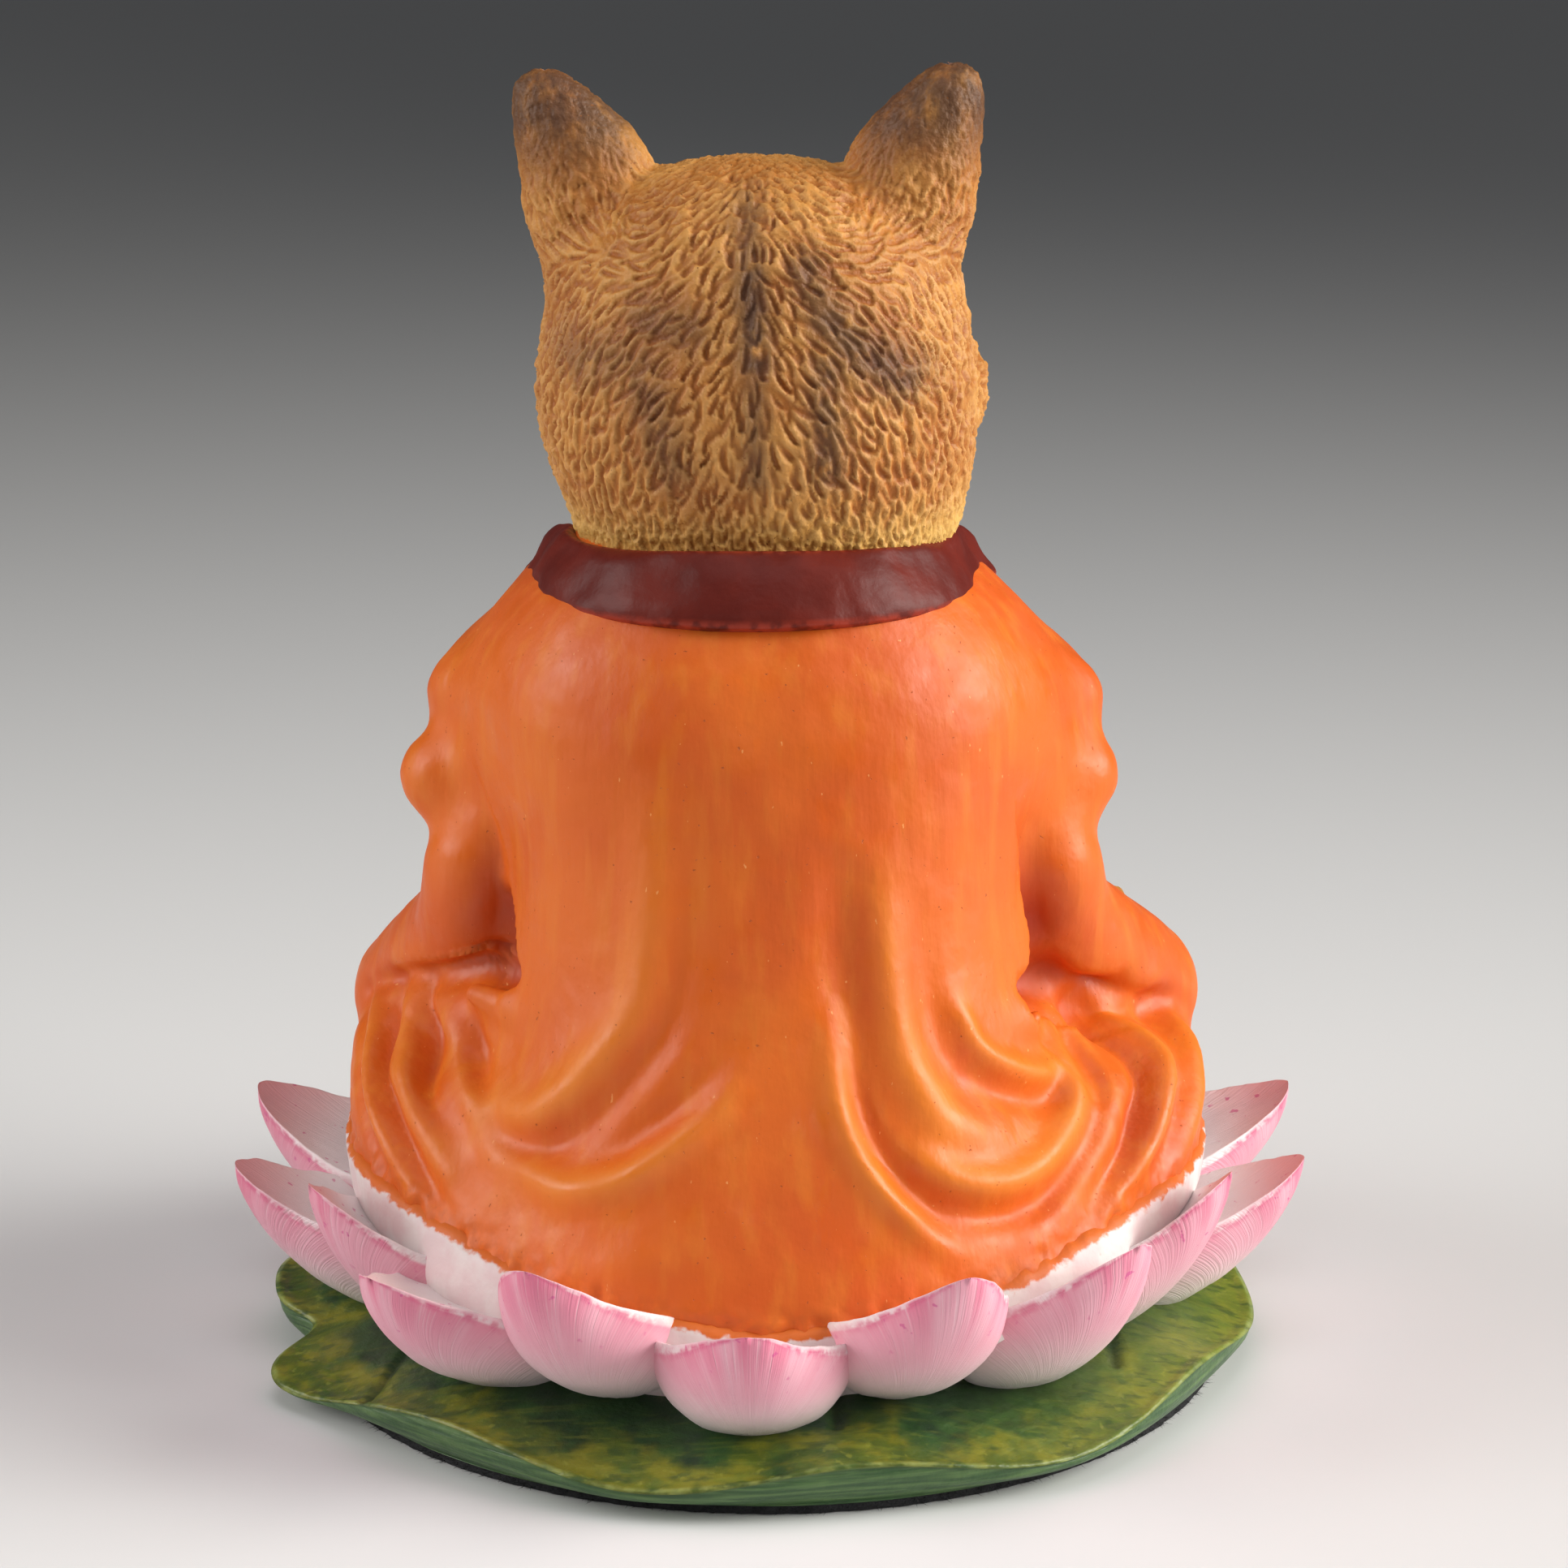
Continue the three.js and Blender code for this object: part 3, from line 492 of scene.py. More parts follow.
def near_nodes(field, low, counts, cell, block):
    """Which nodes of a fine grid lie close to the surface, and the sign of the field at the others."""
    axes = [low[k] + cell * np.arange(0, counts[k], block) for k in range(3)]
    coarse = np.stack(np.meshgrid(*axes, indexing="ij"), -1)
    values = field(coarse.reshape(-1, 3)).reshape(coarse.shape[:3])
    corners = np.array(at_corners(values))
    close = np.abs(corners).min(0) < block * cell * 1.4
    close |= (corners.min(0) < 0) & (corners.max(0) > 0)
    near = np.zeros(counts, bool)
    for view in at_corners(near):
        view |= finer(close, block)
    outside = np.ones(counts)
    outside[:-1, :-1, :-1] = finer(corners[0], block)
    return near, outside


def surface(field, low, high, cell):
    """Closed mesh of quads where a field is zero: one point in each grid cell that the surface crosses."""
    block = 8
    counts = [math.ceil((high[k] - low[k]) / cell / block) * block + 1 for k in range(3)]
    near, values = near_nodes(field, low, counts, cell, block)
    values[near] = field(np.argwhere(near) * cell + np.array(low))
    inside = values < 0
    filled = sum(view.astype(np.int8) for view in at_corners(inside))
    cells = np.argwhere((filled > 0) & (filled < 8))
    number = np.full(filled.shape, -1)
    number[tuple(cells.T)] = np.arange(len(cells))
    return cell_points(values, cells) * cell + np.array(low), cell_faces(inside, number)


def cell_points(values, cells):
    """The mean of the places where the surface crosses the edges of each cell."""
    held = np.stack([values[tuple((cells + corner).T)] for corner in CORNERS], 1)
    total = np.zeros((len(cells), 3))
    count = np.zeros(len(cells))
    for a, b in itertools.combinations(range(8), 2):
        edge = CORNERS[b] - CORNERS[a]
        if np.abs(edge).sum() != 1:
            continue
        crossed = (held[:, a] < 0) != (held[:, b] < 0)
        t = held[:, a] / np.where(crossed, held[:, a] - held[:, b], 1)
        total[crossed] += (CORNERS[a] + t[:, None] * edge)[crossed]
        count[crossed] += 1
    return cells + total / count[:, None]


def cell_faces(inside, number):
    """A quad round each grid edge that the surface crosses."""
    faces = []
    for axis in range(3):
        before = np.moveaxis(inside, axis, 0)[:-1]
        after = np.moveaxis(inside, axis, 0)[1:]
        edges = np.argwhere(np.moveaxis(before != after, 0, axis))
        u, w = np.eye(3, dtype=int)[[(axis + 1) % 3, (axis + 2) % 3]]
        quad = np.stack([number[tuple((edges - shift).T)] for shift in (u + w, w, 0 * u, u)], 1)
        turned = ~inside[tuple(edges.T)]
        quad[turned] = quad[turned][:, ::-1]
        faces.append(quad)
    return np.concatenate(faces)


def gradient(field, p, reach):
    """Slope of a field at each point."""
    shifts = np.eye(3) * reach
    return np.stack([field(p + shift) - field(p - shift) for shift in shifts], 1) / (2 * reach)


def directions(vectors):
    return vectors / (np.linalg.norm(vectors, axis=-1, keepdims=True) + 1e-9)


def flattened(vectors, normals):
    """Directions of vectors without their part along the normals."""
    return directions(vectors - (vectors * normals).sum(1)[:, None] * normals)


def settled(field, p):
    """Points moved onto the surface of a field."""
    for _ in range(2):
        slope = gradient(field, p, 0.05)
        away = field(p) / np.maximum((slope * slope).sum(1), 1e-6)
        p = p - np.clip(away, -0.5, 0.5)[:, None] * slope
    return p


def cut_flat(points, faces, floor):
    """The mesh without what lies below a height, closed by a fan to the middle of the opening."""
    faces = faces[np.any(points[faces][:, :, 2] > floor, axis=1)]
    edges = np.stack([faces, np.roll(faces, -1, axis=1)], -1).reshape(-1, 2)
    known = set(map(tuple, edges.tolist()))
    rim = sorted((a, b) for a, b in known if (b, a) not in known)
    opening = points[[a for a, _ in rim]]
    middle = len(points)
    points = np.concatenate([points, opening.mean(0)[None]])
    fans = np.array([(b, a, middle, middle) for a, b in rim])
    whole = np.concatenate([faces, fans])
    used, flat = np.unique(whole, return_inverse=True)
    return points[used], flat.reshape(whole.shape)


def skin(field, low, high, cell, base=None):
    """Fine mesh of a form, open to a flat base where one is given, and its normals."""
    points, faces = surface(field, low, high, cell)
    if base is not None:
        points, faces = cut_flat(points, faces, base)
    points = settled(field, points)
    return points, faces, directions(gradient(field, points, 0.3))


def turn_from_back(azimuth):
    return np.abs((azimuth + 180) % 360 - 180)


def azimuths(count):
    return np.linspace(0, 360, count, endpoint=False)


def outward(azimuth):
    """Level direction of an azimuth, as an array of x, y and z."""
    angle = np.radians(azimuth)
    return np.stack([np.sin(angle), np.cos(angle), 0 * angle], -1)


def reach_of(field, azimuth, height):
    """Distance from the upright axis to the outermost surface."""
    ray = outward(azimuth)
    reach = np.full(len(ray), 70.0)
    for _ in range(70):
        away = field(at_height(ray, reach, height))
        reach = np.maximum(reach - np.clip(0.8 * away, -2, 4), 0.5)
    return reach


def at_height(ray, reach, height):
    """Points at a reach along level directions, moved to a height."""
    place = ray * np.reshape(reach, (-1, 1))
    place[:, 2] = height
    return place


def fold_line(points):
    """Points of a fold on the robe, and its size at each."""
    points = np.array(points, float)
    at = np.linspace(0, len(points) - 1, 40)
    azimuth, height, size = (curve(at, np.arange(len(points)), points[:, k]) for k in range(3))
    return at_height(outward(azimuth), reach_of(robe, azimuth, height), height), size


def fold_lift(p, kind, width, points):
    """How far one fold lifts the cloth at each point."""
    line, sizes = fold_line(points)
    near = np.all((p > line.min(0) - 4 * width) & (p < line.max(0) + 4 * width), axis=1)
    q = p[near]
    nearest = np.full(len(q), FAR)
    size = np.zeros(len(q))
    across = np.zeros(len(q))
    for start, end, start_size, end_size in zip(line, line[1:], sizes, sizes[1:]):
        share, away = to_segment(q, start, end)
        distance = np.linalg.norm(away, axis=1)
        closer = distance < nearest
        out = directions(np.array([start[0], start[1], 0]))
        east = np.array([out[1], -out[0], 0])
        aside = directions(np.cross(end - start, out))
        nearest = np.where(closer, distance, nearest)
        size = np.where(closer, start_size + share * (end_size - start_size), size)
        across = np.where(closer, away @ aside * np.sign(aside @ east), across)
    lift = np.zeros(len(p))
    if kind == "step":
        outer = step(across * np.sign(points[0][0]), -0.5, 0.5)
        lift[near] = -size * outer * np.exp(-(np.maximum(nearest - 0.5, 0) / width) ** 1.3)
    else:
        lift[near] = size * np.exp(-(nearest / width) ** 2) * (1 if kind == "ridge" else -1)
    return lift


def front_folds():
    """Plainer folds for the unseen front: cloth drawn from the chest to both knees and over the shins."""
    folds = []
    for side, k in itertools.product((1, -1), range(4)):
        start = 180 - side * (8 + 9 * k)
        end = 180 - side * (16 + 15 * k)
        ridge = [(start, 60 + k, 0), (start, 54, 0.8), (end, 44, 1.1), (end, 38 + k, 0.3)]
        valley = [(start - 4.5 * side, 58, 0), (end - 6 * side, 46, 0.9), (end - 7 * side, 39, 0.2)]
        folds += [("ridge", 2.6, ridge), ("valley", 2.2, valley)]
    for turn in range(0, -65, -13):
        folds.append(("valley", 1.8, [(206 + turn, 30, 0.1), (200 + turn, 26, 0.9), (192 + turn, 21, 0.5)]))
        folds.append(("ridge", 2, [(200 + turn, 31, 0.1), (194 + turn, 26, 0.8), (187 + turn, 20, 0.4)]))
    return folds


def piece(name, points, faces, material, node=CASTING, slot="painted_resin", **values):
    """Makes a Blender object of a mesh, with a value for the paint at each point under each name."""
    mesh = bpy.data.meshes.new(name)
    whole = [face[:3] if face[2] == face[3] else face for face in np.asarray(faces).tolist()]
    mesh.from_pydata((points * MM).tolist(), [], whole)
    mesh.polygons.foreach_set("use_smooth", [True] * len(mesh.polygons))
    for label, value in values.items():
        layer = mesh.attributes.new(label, "FLOAT", "POINT")
        layer.data.foreach_set("value", np.asarray(value, np.float32))
    mesh.materials.append(material)
    made = bpy.data.objects.new(name, mesh)
    bpy.context.scene.collection.objects.link(made)
    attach(made, "root")
    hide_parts(node)


def band_faces(rings, count):
    """Quads between closed rings of points, where the last ring meets the first."""
    j, i = np.meshgrid(np.arange(rings), np.arange(count), indexing="ij")
    after, side = (j + 1) % rings, (i + 1) % count
    quads = [j * count + i, after * count + i, after * count + side, j * count + side]
    return np.stack(quads, -1).reshape(-1, 4)


def closed(points, rings, count, outward_first):
    """Faces of a stack of rings, and its points with a middle point added at both ends."""
    points = np.concatenate([points, [points[:count].mean(0), points[-count:].mean(0)]])
    i = np.arange(count)
    side = (i + 1) % count
    shift = (rings - 1) * count
    first, last = 0 * i + len(points) - 2, 0 * i + len(points) - 1
    start = np.stack([side, i, first, first], 1)
    end = np.stack([i + shift, side + shift, last, last], 1)
    faces = np.concatenate([band_faces(rings, count)[:-count], start, end])
    return points, faces if outward_first else faces[:, [1, 0, 3, 2]]


def stacked(out, rows):
    """Points of level rings, one for each row of reach and height."""
    return np.concatenate([at_height(out, reach, height) for reach, height in rows])


def collar_height(azimuth):
    """Height of the collar's middle: highest behind the neck, and down to a point at the chest."""
    facing = np.cos(np.radians(azimuth))
    t = np.clip((180 - turn_from_back(azimuth)) / COLLAR_FRONT_SPAN, 0, 1)
    level = COLLAR_HEIGHT + COLLAR_RISE * np.clip(facing, 0, 1) ** 2 - COLLAR_TILT * np.clip(-facing, 0, 1)
    return level - COLLAR_DROP * (1 - t) ** 1.15 * (1 - 0.25 * t)


def make_robe(material):
    points, faces, normals = skin(robe, (-52, -54, 6), (52, 50, 98), ROBE_CELL, ROBE_BOTTOM)
    lift = sum(fold_lift(points, *fold) for fold in FOLDS + front_folds())
    relief = 0.12 * grain(points, 5, 1) + 0.05 * grain(points, 1.7, 2)
    azimuth = np.degrees(np.arctan2(points[:, 0], points[:, 1]))
    chest = step(points[:, 2] - collar_height(azimuth), -1.5, 0.5) * step(-points[:, 1], 4, 9)
    bare = chest > 0.5
    flow = flattened(np.array([0, 0, -1]), normals[bare])
    fur = np.zeros(len(points))
    fur[bare] = carved(points[bare], normals[bare], flow, CHEST_CUTS, 61)
    hem = step(core_height(azimuth) - points[:, 2], -HEM_WIDTH, 0)
    ragged = 0.4 * hem * grain(points, 1.3, 3)
    moved = points + normals * (lift * (1 - chest) + relief - fur)[:, None]
    moved += normals * ragged[:, None]
    values = {
        # Mask for painted shade in the fold valleys and where the cloth drops behind the panel steps
        "painted_fold_shade": np.clip((-lift - 0.7) / 3, 0, 1),
        # Mask for a painted highlight on the fold crests
        "painted_crest_highlight": np.clip(lift / 1.4, 0, 1),
        "chest": chest,
        "groove": fur / 0.5,
        "hem": hem,
        "low": 0.5 * chest,
    }
    piece("robe", moved, faces, material, **values)


def make_collar(material):
    around, across = 240, 32
    azimuth = azimuths(around)
    out = outward(azimuth)
    height = collar_height(azimuth)
    back = np.clip(np.cos(np.radians(azimuth)), 0, 1) ** 2
    centre = at_height(out, reach_of(torso, azimuth, height) - 0.3 + 1.3 * back, height)
    along = directions(np.roll(centre, -1, axis=0) - np.roll(centre, 1, axis=0))
    up = flattened(np.array([0, 0, 1.45]) - out, along)
    proud = directions(np.cross(along, up))
    proud *= np.sign((proud * out).sum(1))[:, None]
    angle = np.radians(azimuths(across))
    bulge = np.abs(np.sin(angle))
    share = np.sign(np.cos(angle)) * np.abs(np.cos(angle)) ** 0.6
    thick = np.where(np.sin(angle) > 0, COLLAR_PROUD * bulge ** 0.6, -COLLAR_SUNK * bulge ** 0.4)
    wide = (COLLAR_WIDTH + COLLAR_BACK_WIDTH * back)[:, None, None] / 2 * share[:, None]
    points = centre[:, None] + wide * up[:, None] + thick[:, None] * proud[:, None]
    points = points.reshape(-1, 3)
    outer = np.tile(np.clip(np.sin(angle) * 3, 0, 1), around)
    swell = 0.4 * grain(points * np.array([1, 1, 2.2]), 5, 5) + 0.14 * grain(points, 1.7, 6)
    points = points + np.repeat(proud, across, axis=0) * (swell * outer)[:, None]
    lower = np.tile(step(-share, 0.8, 0.99), around)
    upper = np.tile(step(share, 0.86, 1), around)
    piece("collar", points, band_faces(around, across), material, lower=lower, upper=upper)


def blurred(values, faces, rounds):
    """Values averaged with those of their neighbours on the mesh."""
    count = np.bincount(faces.ravel(), minlength=len(values))
    for _ in range(rounds):
        mean = values[faces].mean(1)
        values = np.bincount(faces.ravel(), np.repeat(mean, faces.shape[1]), len(values)) / count
    return values


def between(a, b, share):
    return a * (1 - share[:, None]) + b * share[:, None]


def fur_flow(q, normals):
    """Direction in which the fur lies: down and outwards from the crown, up the ears, back from the nose."""
    x, y, z = q.T
    side = np.sign(x + 1)
    away = np.tanh(np.abs(x + 1) / 5) * (0.15 + 1.15 * step(z, 90, 124))
    back = np.stack([side * away, 0.7 * step(z, 117, 126), -np.ones(len(q))], 1)
    front = directions(q - np.array([0, -8, 103])) + np.array([0, 0.4, 0.15])
    up_ear = np.stack([side * 0.3, 0 * x, np.ones(len(q))], 1)
    round_ear = np.stack([side, 0 * x, 0.2 * np.ones(len(q))], 1)
    flow = between(back, front, step(-y, 0, 7))
    flow = between(flow, round_ear, step(z, 117, 121) * step(np.abs(x), 7, 10))
    flow = between(flow, up_ear, step(z, 120, 127) * step(np.abs(x), 9, 12))
    return flattened(flow, normals)


def fur_cuts(q):
    """Length, half width and depth of the strokes cut at each place on the head."""
    x, y, z = q.T
    full = step(z, 90, 102) * step(-z, -132, -124)
    long = 1.9 + 2.4 * full
    wide = 0.3 + 0.17 * full
    deep = 0.22 + 0.15 * full
    on_ear = step(z, 120, 128) * step(np.abs(x), 8, 12)
    on_face = step(-y, 8, 14)
    long = long * (1 + 0.1 * on_ear - 0.35 * on_face)
    wide = wide * (1 - 0.25 * on_ear - 0.25 * on_face)
    deep = deep * (1 - 0.45 * on_ear - 0.5 * on_face)
    return np.stack([long, wide, deep], 1)


def within(tree, place, reach):
    """Numbers of the points that lie within a distance of a place."""
    return np.array([found[1] for found in tree.find_range(place, reach)])


def spread_out(points, flow, cuts, tree, chance):
    """Numbers of points picked at random, each one clear of the strokes beside, before and behind it."""
    free = np.ones(len(points), bool)
    picked = []
    for k in chance.permutation(len(points)):
        if not free[k]:
            continue
        picked.append(k)
        long, wide = cuts[k, 0] * STROKE_LAP, cuts[k, 1] * STROKE_GAP
        near = within(tree, points[k], long)
        offset = points[near] - points[k]
        along = offset @ flow[k]
        across = (offset * offset).sum(1) - along ** 2
        free[near[(along / long) ** 2 + across / wide ** 2 < 1]] = False
    return picked


def carved(points, normals, flow, cuts, seed):
    """Depth at each point of strokes gouged along the flow, each one ending in a round lip.

    The cuts give the length, half width and depth of a stroke, once or for each point.
    """
    chance = np.random.default_rng(seed)
    cuts = np.broadcast_to(cuts, points.shape)
    tree = KDTree(len(points))
    for k, point in enumerate(points):
        tree.insert(point, k)
    tree.balance()
    depth = np.zeros(len(points))
    for k in spread_out(points, flow, cuts, tree, chance):
        long, wide, deep = cuts[k] * chance.uniform(0.75, 1.25, 3)
        near = within(tree, points[k], long * 0.6)
        turn = chance.normal(0, 0.16)
        along = flow[k] * math.cos(turn) + np.cross(normals[k], flow[k]) * math.sin(turn)
        offset = points[near] - points[k]
        share = np.clip(offset @ along / long + 0.5, 0, 1)
        out = offset @ np.cross(normals[k], along) - chance.normal(0, 0.5) * (share - 0.5) ** 2 * long
        half = wide * np.clip(1 - (2 * share - 1) ** 4, 1e-4, 1) ** 0.5 * (0.5 + 0.7 * share)
        scoop = deep * step(share, 0, 0.7) * step(1 - share, 0, 0.1)
        depth[near] = np.maximum(depth[near], scoop * np.clip(1 - np.abs(out / half) ** 3, 0, 1))
    return depth


def make_head(material):
    points, faces, normals = skin(head, (-33, -34, 82), (33, 28, 143), HEAD_CELL, HEAD_BASE)
    q = head_frame(points)
    bare = nose_and_lids(q)
    depth = carved(points, normals, fur_flow(q, normals), fur_cuts(q), 7) * (1 - bare)
    line = face_lines(q)
    rough = step(q[:, 2], 121, 127) + step(np.abs(q[:, 0]), 16, 21) * step(-q[:, 2], -116, -110)
    crumbs = 0.08 * grain(points, 0.6, 3) + 0.13 * grain(points, 1.2, 4)
    crumbs *= (1 - bare) * (1 - 0.6 * step(q[:, 2], 127, 131)) * (1 + 1.1 * rough)
    ridge = blurred(depth, faces, 5) - depth
    moved = points + normals * (crumbs - depth + 0.3 * ridge - 0.4 * line)[:, None]
    values = {
        "groove": np.clip(depth / 0.45, 0, 1),
        "ridge": np.clip(ridge / 0.16, 0, 1),
        "line": line,
        "nose": nose(q),
        "patch": patches(q),
        "tip": step(q[:, 2], 125.5, 135) * step(np.abs(q[:, 0]), 10, 13.5),
        "inner": inner_ear(q),
        "low": step(-q[:, 2], -99, -90),
    }
    behind = points[faces].mean(1)[:, 1] > HEAD_SPLIT
    for name, chosen in (("head_back", behind), ("head_front", ~behind)):
        used, flat = np.unique(faces[chosen], return_inverse=True)
        kept = {label: value[used] for label, value in values.items()}
        piece(name, moved[used], flat.reshape(-1, 4), material, **kept)


def nose(q):
    return step(-ellipsoid(q, (0, -24.6, 101.8), (2.1, 1.6, 1.3)), -0.5, 0)


def nose_and_lids(q):
    """1 on the smooth nose and on the closed lids, and 0 on the fur."""
    lids = sum(step(-ellipsoid(q, (side * EYE_OUT, -18.5, 107), (4, 3, 2.3)), -0.6, 0.2) for side in (1, -1))
    return np.clip(nose(q) + lids, 0, 1)


def line_distance(flat, points):
    """Distance to a line through points."""
    ends = zip(points, points[1:])
    return np.min([np.linalg.norm(to_segment(flat, *pair)[1], axis=1) for pair in ends], axis=0)


def near_line(flat, points, width):
    """1 on a line through the points, falling to 0 at the width on both sides."""
    return step(-line_distance(flat, points), -width, 0)


def arc(centre, radii, first, last, count):
    """Points of an arc between two angles."""
    turns = np.radians(np.linspace(first, last, count))
    return [(centre[0] + radii[0] * math.cos(a), centre[1] + radii[1] * math.sin(a)) for a in turns]


def face_lines(q):
    """1 in the lines of the closed eyes and the mouth."""
    lines = [([(0, 100.8), (0, 98.4)], 0.45)]
    for side in (1, -1):
        lines.append((arc((side * EYE_OUT, 107.6), (3.9, 2.7), 200, 340, 15), 0.55))
        lines.append((arc((side * 2.4, 98.7), (2.4, 1.7), 190, 350, 12), 0.5))
    drawn = [near_line(q[:, [0, 2]], points, width) for points, width in lines]
    return np.max(drawn, axis=0) * step(-q[:, 1], 10, 13)


def inner_ear(q):
    """1 in the hollows of the ears."""
    hollow = np.minimum(ear_forms(q, 1)[1], ear_forms(q, -1)[1])
    return step(-hollow, -0.5, 0.1) * step(-q[:, 1], 1, 2.5) * step(skull(q), 0.2, 1.4)


def patches(q):
    """Strength of the dark tabby marks on the head."""
    strongest = np.zeros(len(q))
    for marks, side in ((BACK_PATCHES, 1), (FRONT_PATCHES, -1)):
        facing = step(q[:, 1] * side, 2, 6)
        for start, end, reach, strength in marks:
            distance = line_distance(q[:, [0, 2]], (start, end))
            strongest = np.maximum(strongest, strength * facing * np.exp(-(distance / reach) ** 2))
    return strongest


def petal(azimuth, reach, tip, rim, half, depth):
    """A boat-shaped petal with a hollow top: its points, its faces, and what the paint needs at each."""
    around, steps = 84, 44
    out = outward(np.float64(azimuth))
    across = np.array([out[1], -out[0], 0])
    v = 1 - (1 - np.linspace(0, 0.996, steps)) ** 1.5
    wide = half * (0.86 + 0.14 * np.sin(np.pi * np.minimum(1, 1.3 * v))) * (1 - v ** 3.4) ** 0.62
    wide *= 0.68 + 0.32 * step(v, -0.05, 0.32)
    edge = rim + (tip - rim) * v * v - 1.6 * (1 - step(v, 0, 0.25))
    belly = depth * (1 - v ** 3) ** 0.55
    hollow = 1.7 * (1 - v ** 5) ** 0.8
    run = PETAL_START + (reach - PETAL_TRIM - PETAL_START) * v
    run[0] -= PETAL_ROOT
    angle = np.radians(azimuths(around))
    rise = np.sin(angle)
    drop = np.where(rise > 0, belly[:, None] * np.abs(rise) ** 0.8, hollow[:, None] * rise ** 2)
    drop = sum(np.roll(drop, k, axis=1) for k in range(-3, 4)) / 7
    aside = wide[:, None] * np.cos(angle)
    points = (out * run[:, None])[:, None] + across * aside[..., None]
    points[..., 2] = edge[:, None] - drop
    points = points.reshape(-1, 3)
    relief = 0.34 * grain(points, 3.4, 21) + 0.1 * grain(points, 1.1, 22)
    points[:, 2] += relief
    points[:, :2] += 0.7 * relief[:, None] * out[:2]
    points, faces = closed(points, steps, around, True)
    fan = np.degrees(np.arctan2(np.append(aside, [0, 0]), points[:, 2] - 3)) + 400 + azimuth
    along = np.append(np.repeat(v, around), [0, 1])
    outer = np.append(np.tile(np.where(rise > 0, rise, 0), steps), [0, 0])
    on_rim = np.append(np.tile(np.clip(1 - np.abs(rise) / 0.16, 0, 1), steps), [0, 1])
    return points, faces, np.stack([along, outer, fan, (points[:, 2] - 5) / (tip - 5), on_rim])


def make_petals(name, petals, material):
    points, faces, values = zip(*(petal(*row) for row in petals))
    starts = np.cumsum([0] + [len(part) for part in points])
    faces = np.concatenate([part + start for part, start in zip(faces, starts)])
    values = dict(zip(("along", "outer", "fan", "rise", "rim"), np.concatenate(values, axis=1)))
    piece(name, np.concatenate(points), faces, material, **values)


def leaf_edge(azimuth):
    """Reach and height of the leaf's wavy edge, with its slit and its corner."""
    def near(centre, width):
        return np.exp(-(((azimuth - centre + 180) % 360 - 180) / width) ** 2)

    wave = np.cos(np.radians(7 * (azimuth + 11)))
    corner = 3 * near(70, 7) - 3.6 * near(79, 4) + 2.2 * near(93, 12)
    dents = -3.5 * near(-118, 4) + 2 * near(-127, 8) - 3.5 * near(188, 4) + 2.5 * near(196, 7)
    return 52.2 - 0.7 * wave + corner + dents, 4.7 + 1.3 * wave - 1.2 * near(66, 8)


def leaf_dent(points):
    """Depth of the slit and of the two creases pressed into the top of the leaf."""
    flat = points[:, :2]
    slit = near_line(flat, [(36, 14.1), (40.4, 26.5), (45, 36)], 0.9)
    creases = near_line(flat, [(-7.2, 29), (-7.1, 43)], 1.1)
    creases += near_line(flat, [(-36, 12), (-36.5, 25.5)], 1.2)
    return 0.7 * slit + 0.5 * creases


def leaf_rows(edge, height):
    """Reach and height of rings over the top of the leaf and down its side, and how far along each is."""
    rows, shares = [], []
    for share in np.linspace(0, 1, 46):
        lip = 0.35 * math.exp(-((share - 0.985) / 0.02) ** 2)
        slope = share ** 1.5
        rows.append((LEAF_START + (edge - LEAF_START) * share, height * slope + 10 * (1 - slope) + lip - 0.2))
        shares.append(share)
    for share in np.linspace(0.06, 1, 14):
        bulge = 0.8 * math.sin(math.pi * min(share * 1.1, 1))
        reach = edge - 0.4 + 0.4 * bulge - (edge - LEAF_FOOT) * share ** 2.2
        rows.append((reach, 1 + (height - 1) * (1 - share)))
        shares.append(1 + share)
    return rows, shares


def make_leaf(material):
    around = 640
    azimuth = azimuths(around)
    out = outward(azimuth)
    rows, shares = leaf_rows(*leaf_edge(azimuth))
    points = stacked(out, rows)
    share = np.repeat(shares, around)
    relief = 0.3 * grain(points, 7, 31) + 0.07 * grain(points, 1.5, 32) - leaf_dent(points)
    points[:, 2] += step(-share, -1, -0.96) * relief
    brushed = 0.09 * grain(points * np.array([0.12, 0.12, 1]), 0.55, 33) * step(share, 1.02, 1.1)
    points[:, :2] += np.tile(out[:, :2], (len(rows), 1)) * brushed[:, None]
    points, faces = closed(points, len(rows), around, True)
    points[-1, 2] = 1
    # Mask for painted shade in the slit and creases
    dent = np.append(leaf_dent(points[:-2]), [0, 0])
    piece("leaf", points, faces, material, share=np.append(share, [0, 2]), dent=dent)


def core_height(azimuth):
    """Height at which the white middle of the lotus meets the robe."""
    return curve(turn_from_back(azimuth), CORE_TOP["turn"], CORE_TOP["height"])


def make_core(material):
    """The white middle of the lotus, which rises between the petals and the robe."""
    around = 480
    azimuth = azimuths(around)
    top = core_height(azimuth)
    at_robe = reach_of(robe, azimuth, top)
    out = outward(azimuth)
    ragged = 0.35 * grain(out * 44, 1.6, 11) + 0.2 * grain(out * 44, 0.7, 12)
    rows = list(CORE_FOOT)
    for share in np.linspace(0, 1, 12):
        height = 12.5 + (top + ragged - 13.3) * share
        reach = reach_of(robe, azimuth, height) + 0.7 + 1.2 * share * (1 - share) ** 2
        limit = CORE_LIMIT + CORE_FLARE * np.maximum(height - CORE_FLARE_START, 0)
        rows.append((np.minimum(reach, limit), height))
    rows += [(at_robe + 0.1, top + ragged), (at_robe - 1.5, top), (CORE_INNER, top)]
    points = stacked(out, rows)
    stain = step(points[:, 2] - np.tile(top, len(rows)), -1.8, 0.8)
    points, faces = closed(points, len(rows), around, False)
    piece("lotus_core", points, faces, material, stain=np.append(stain, [0, 0]))


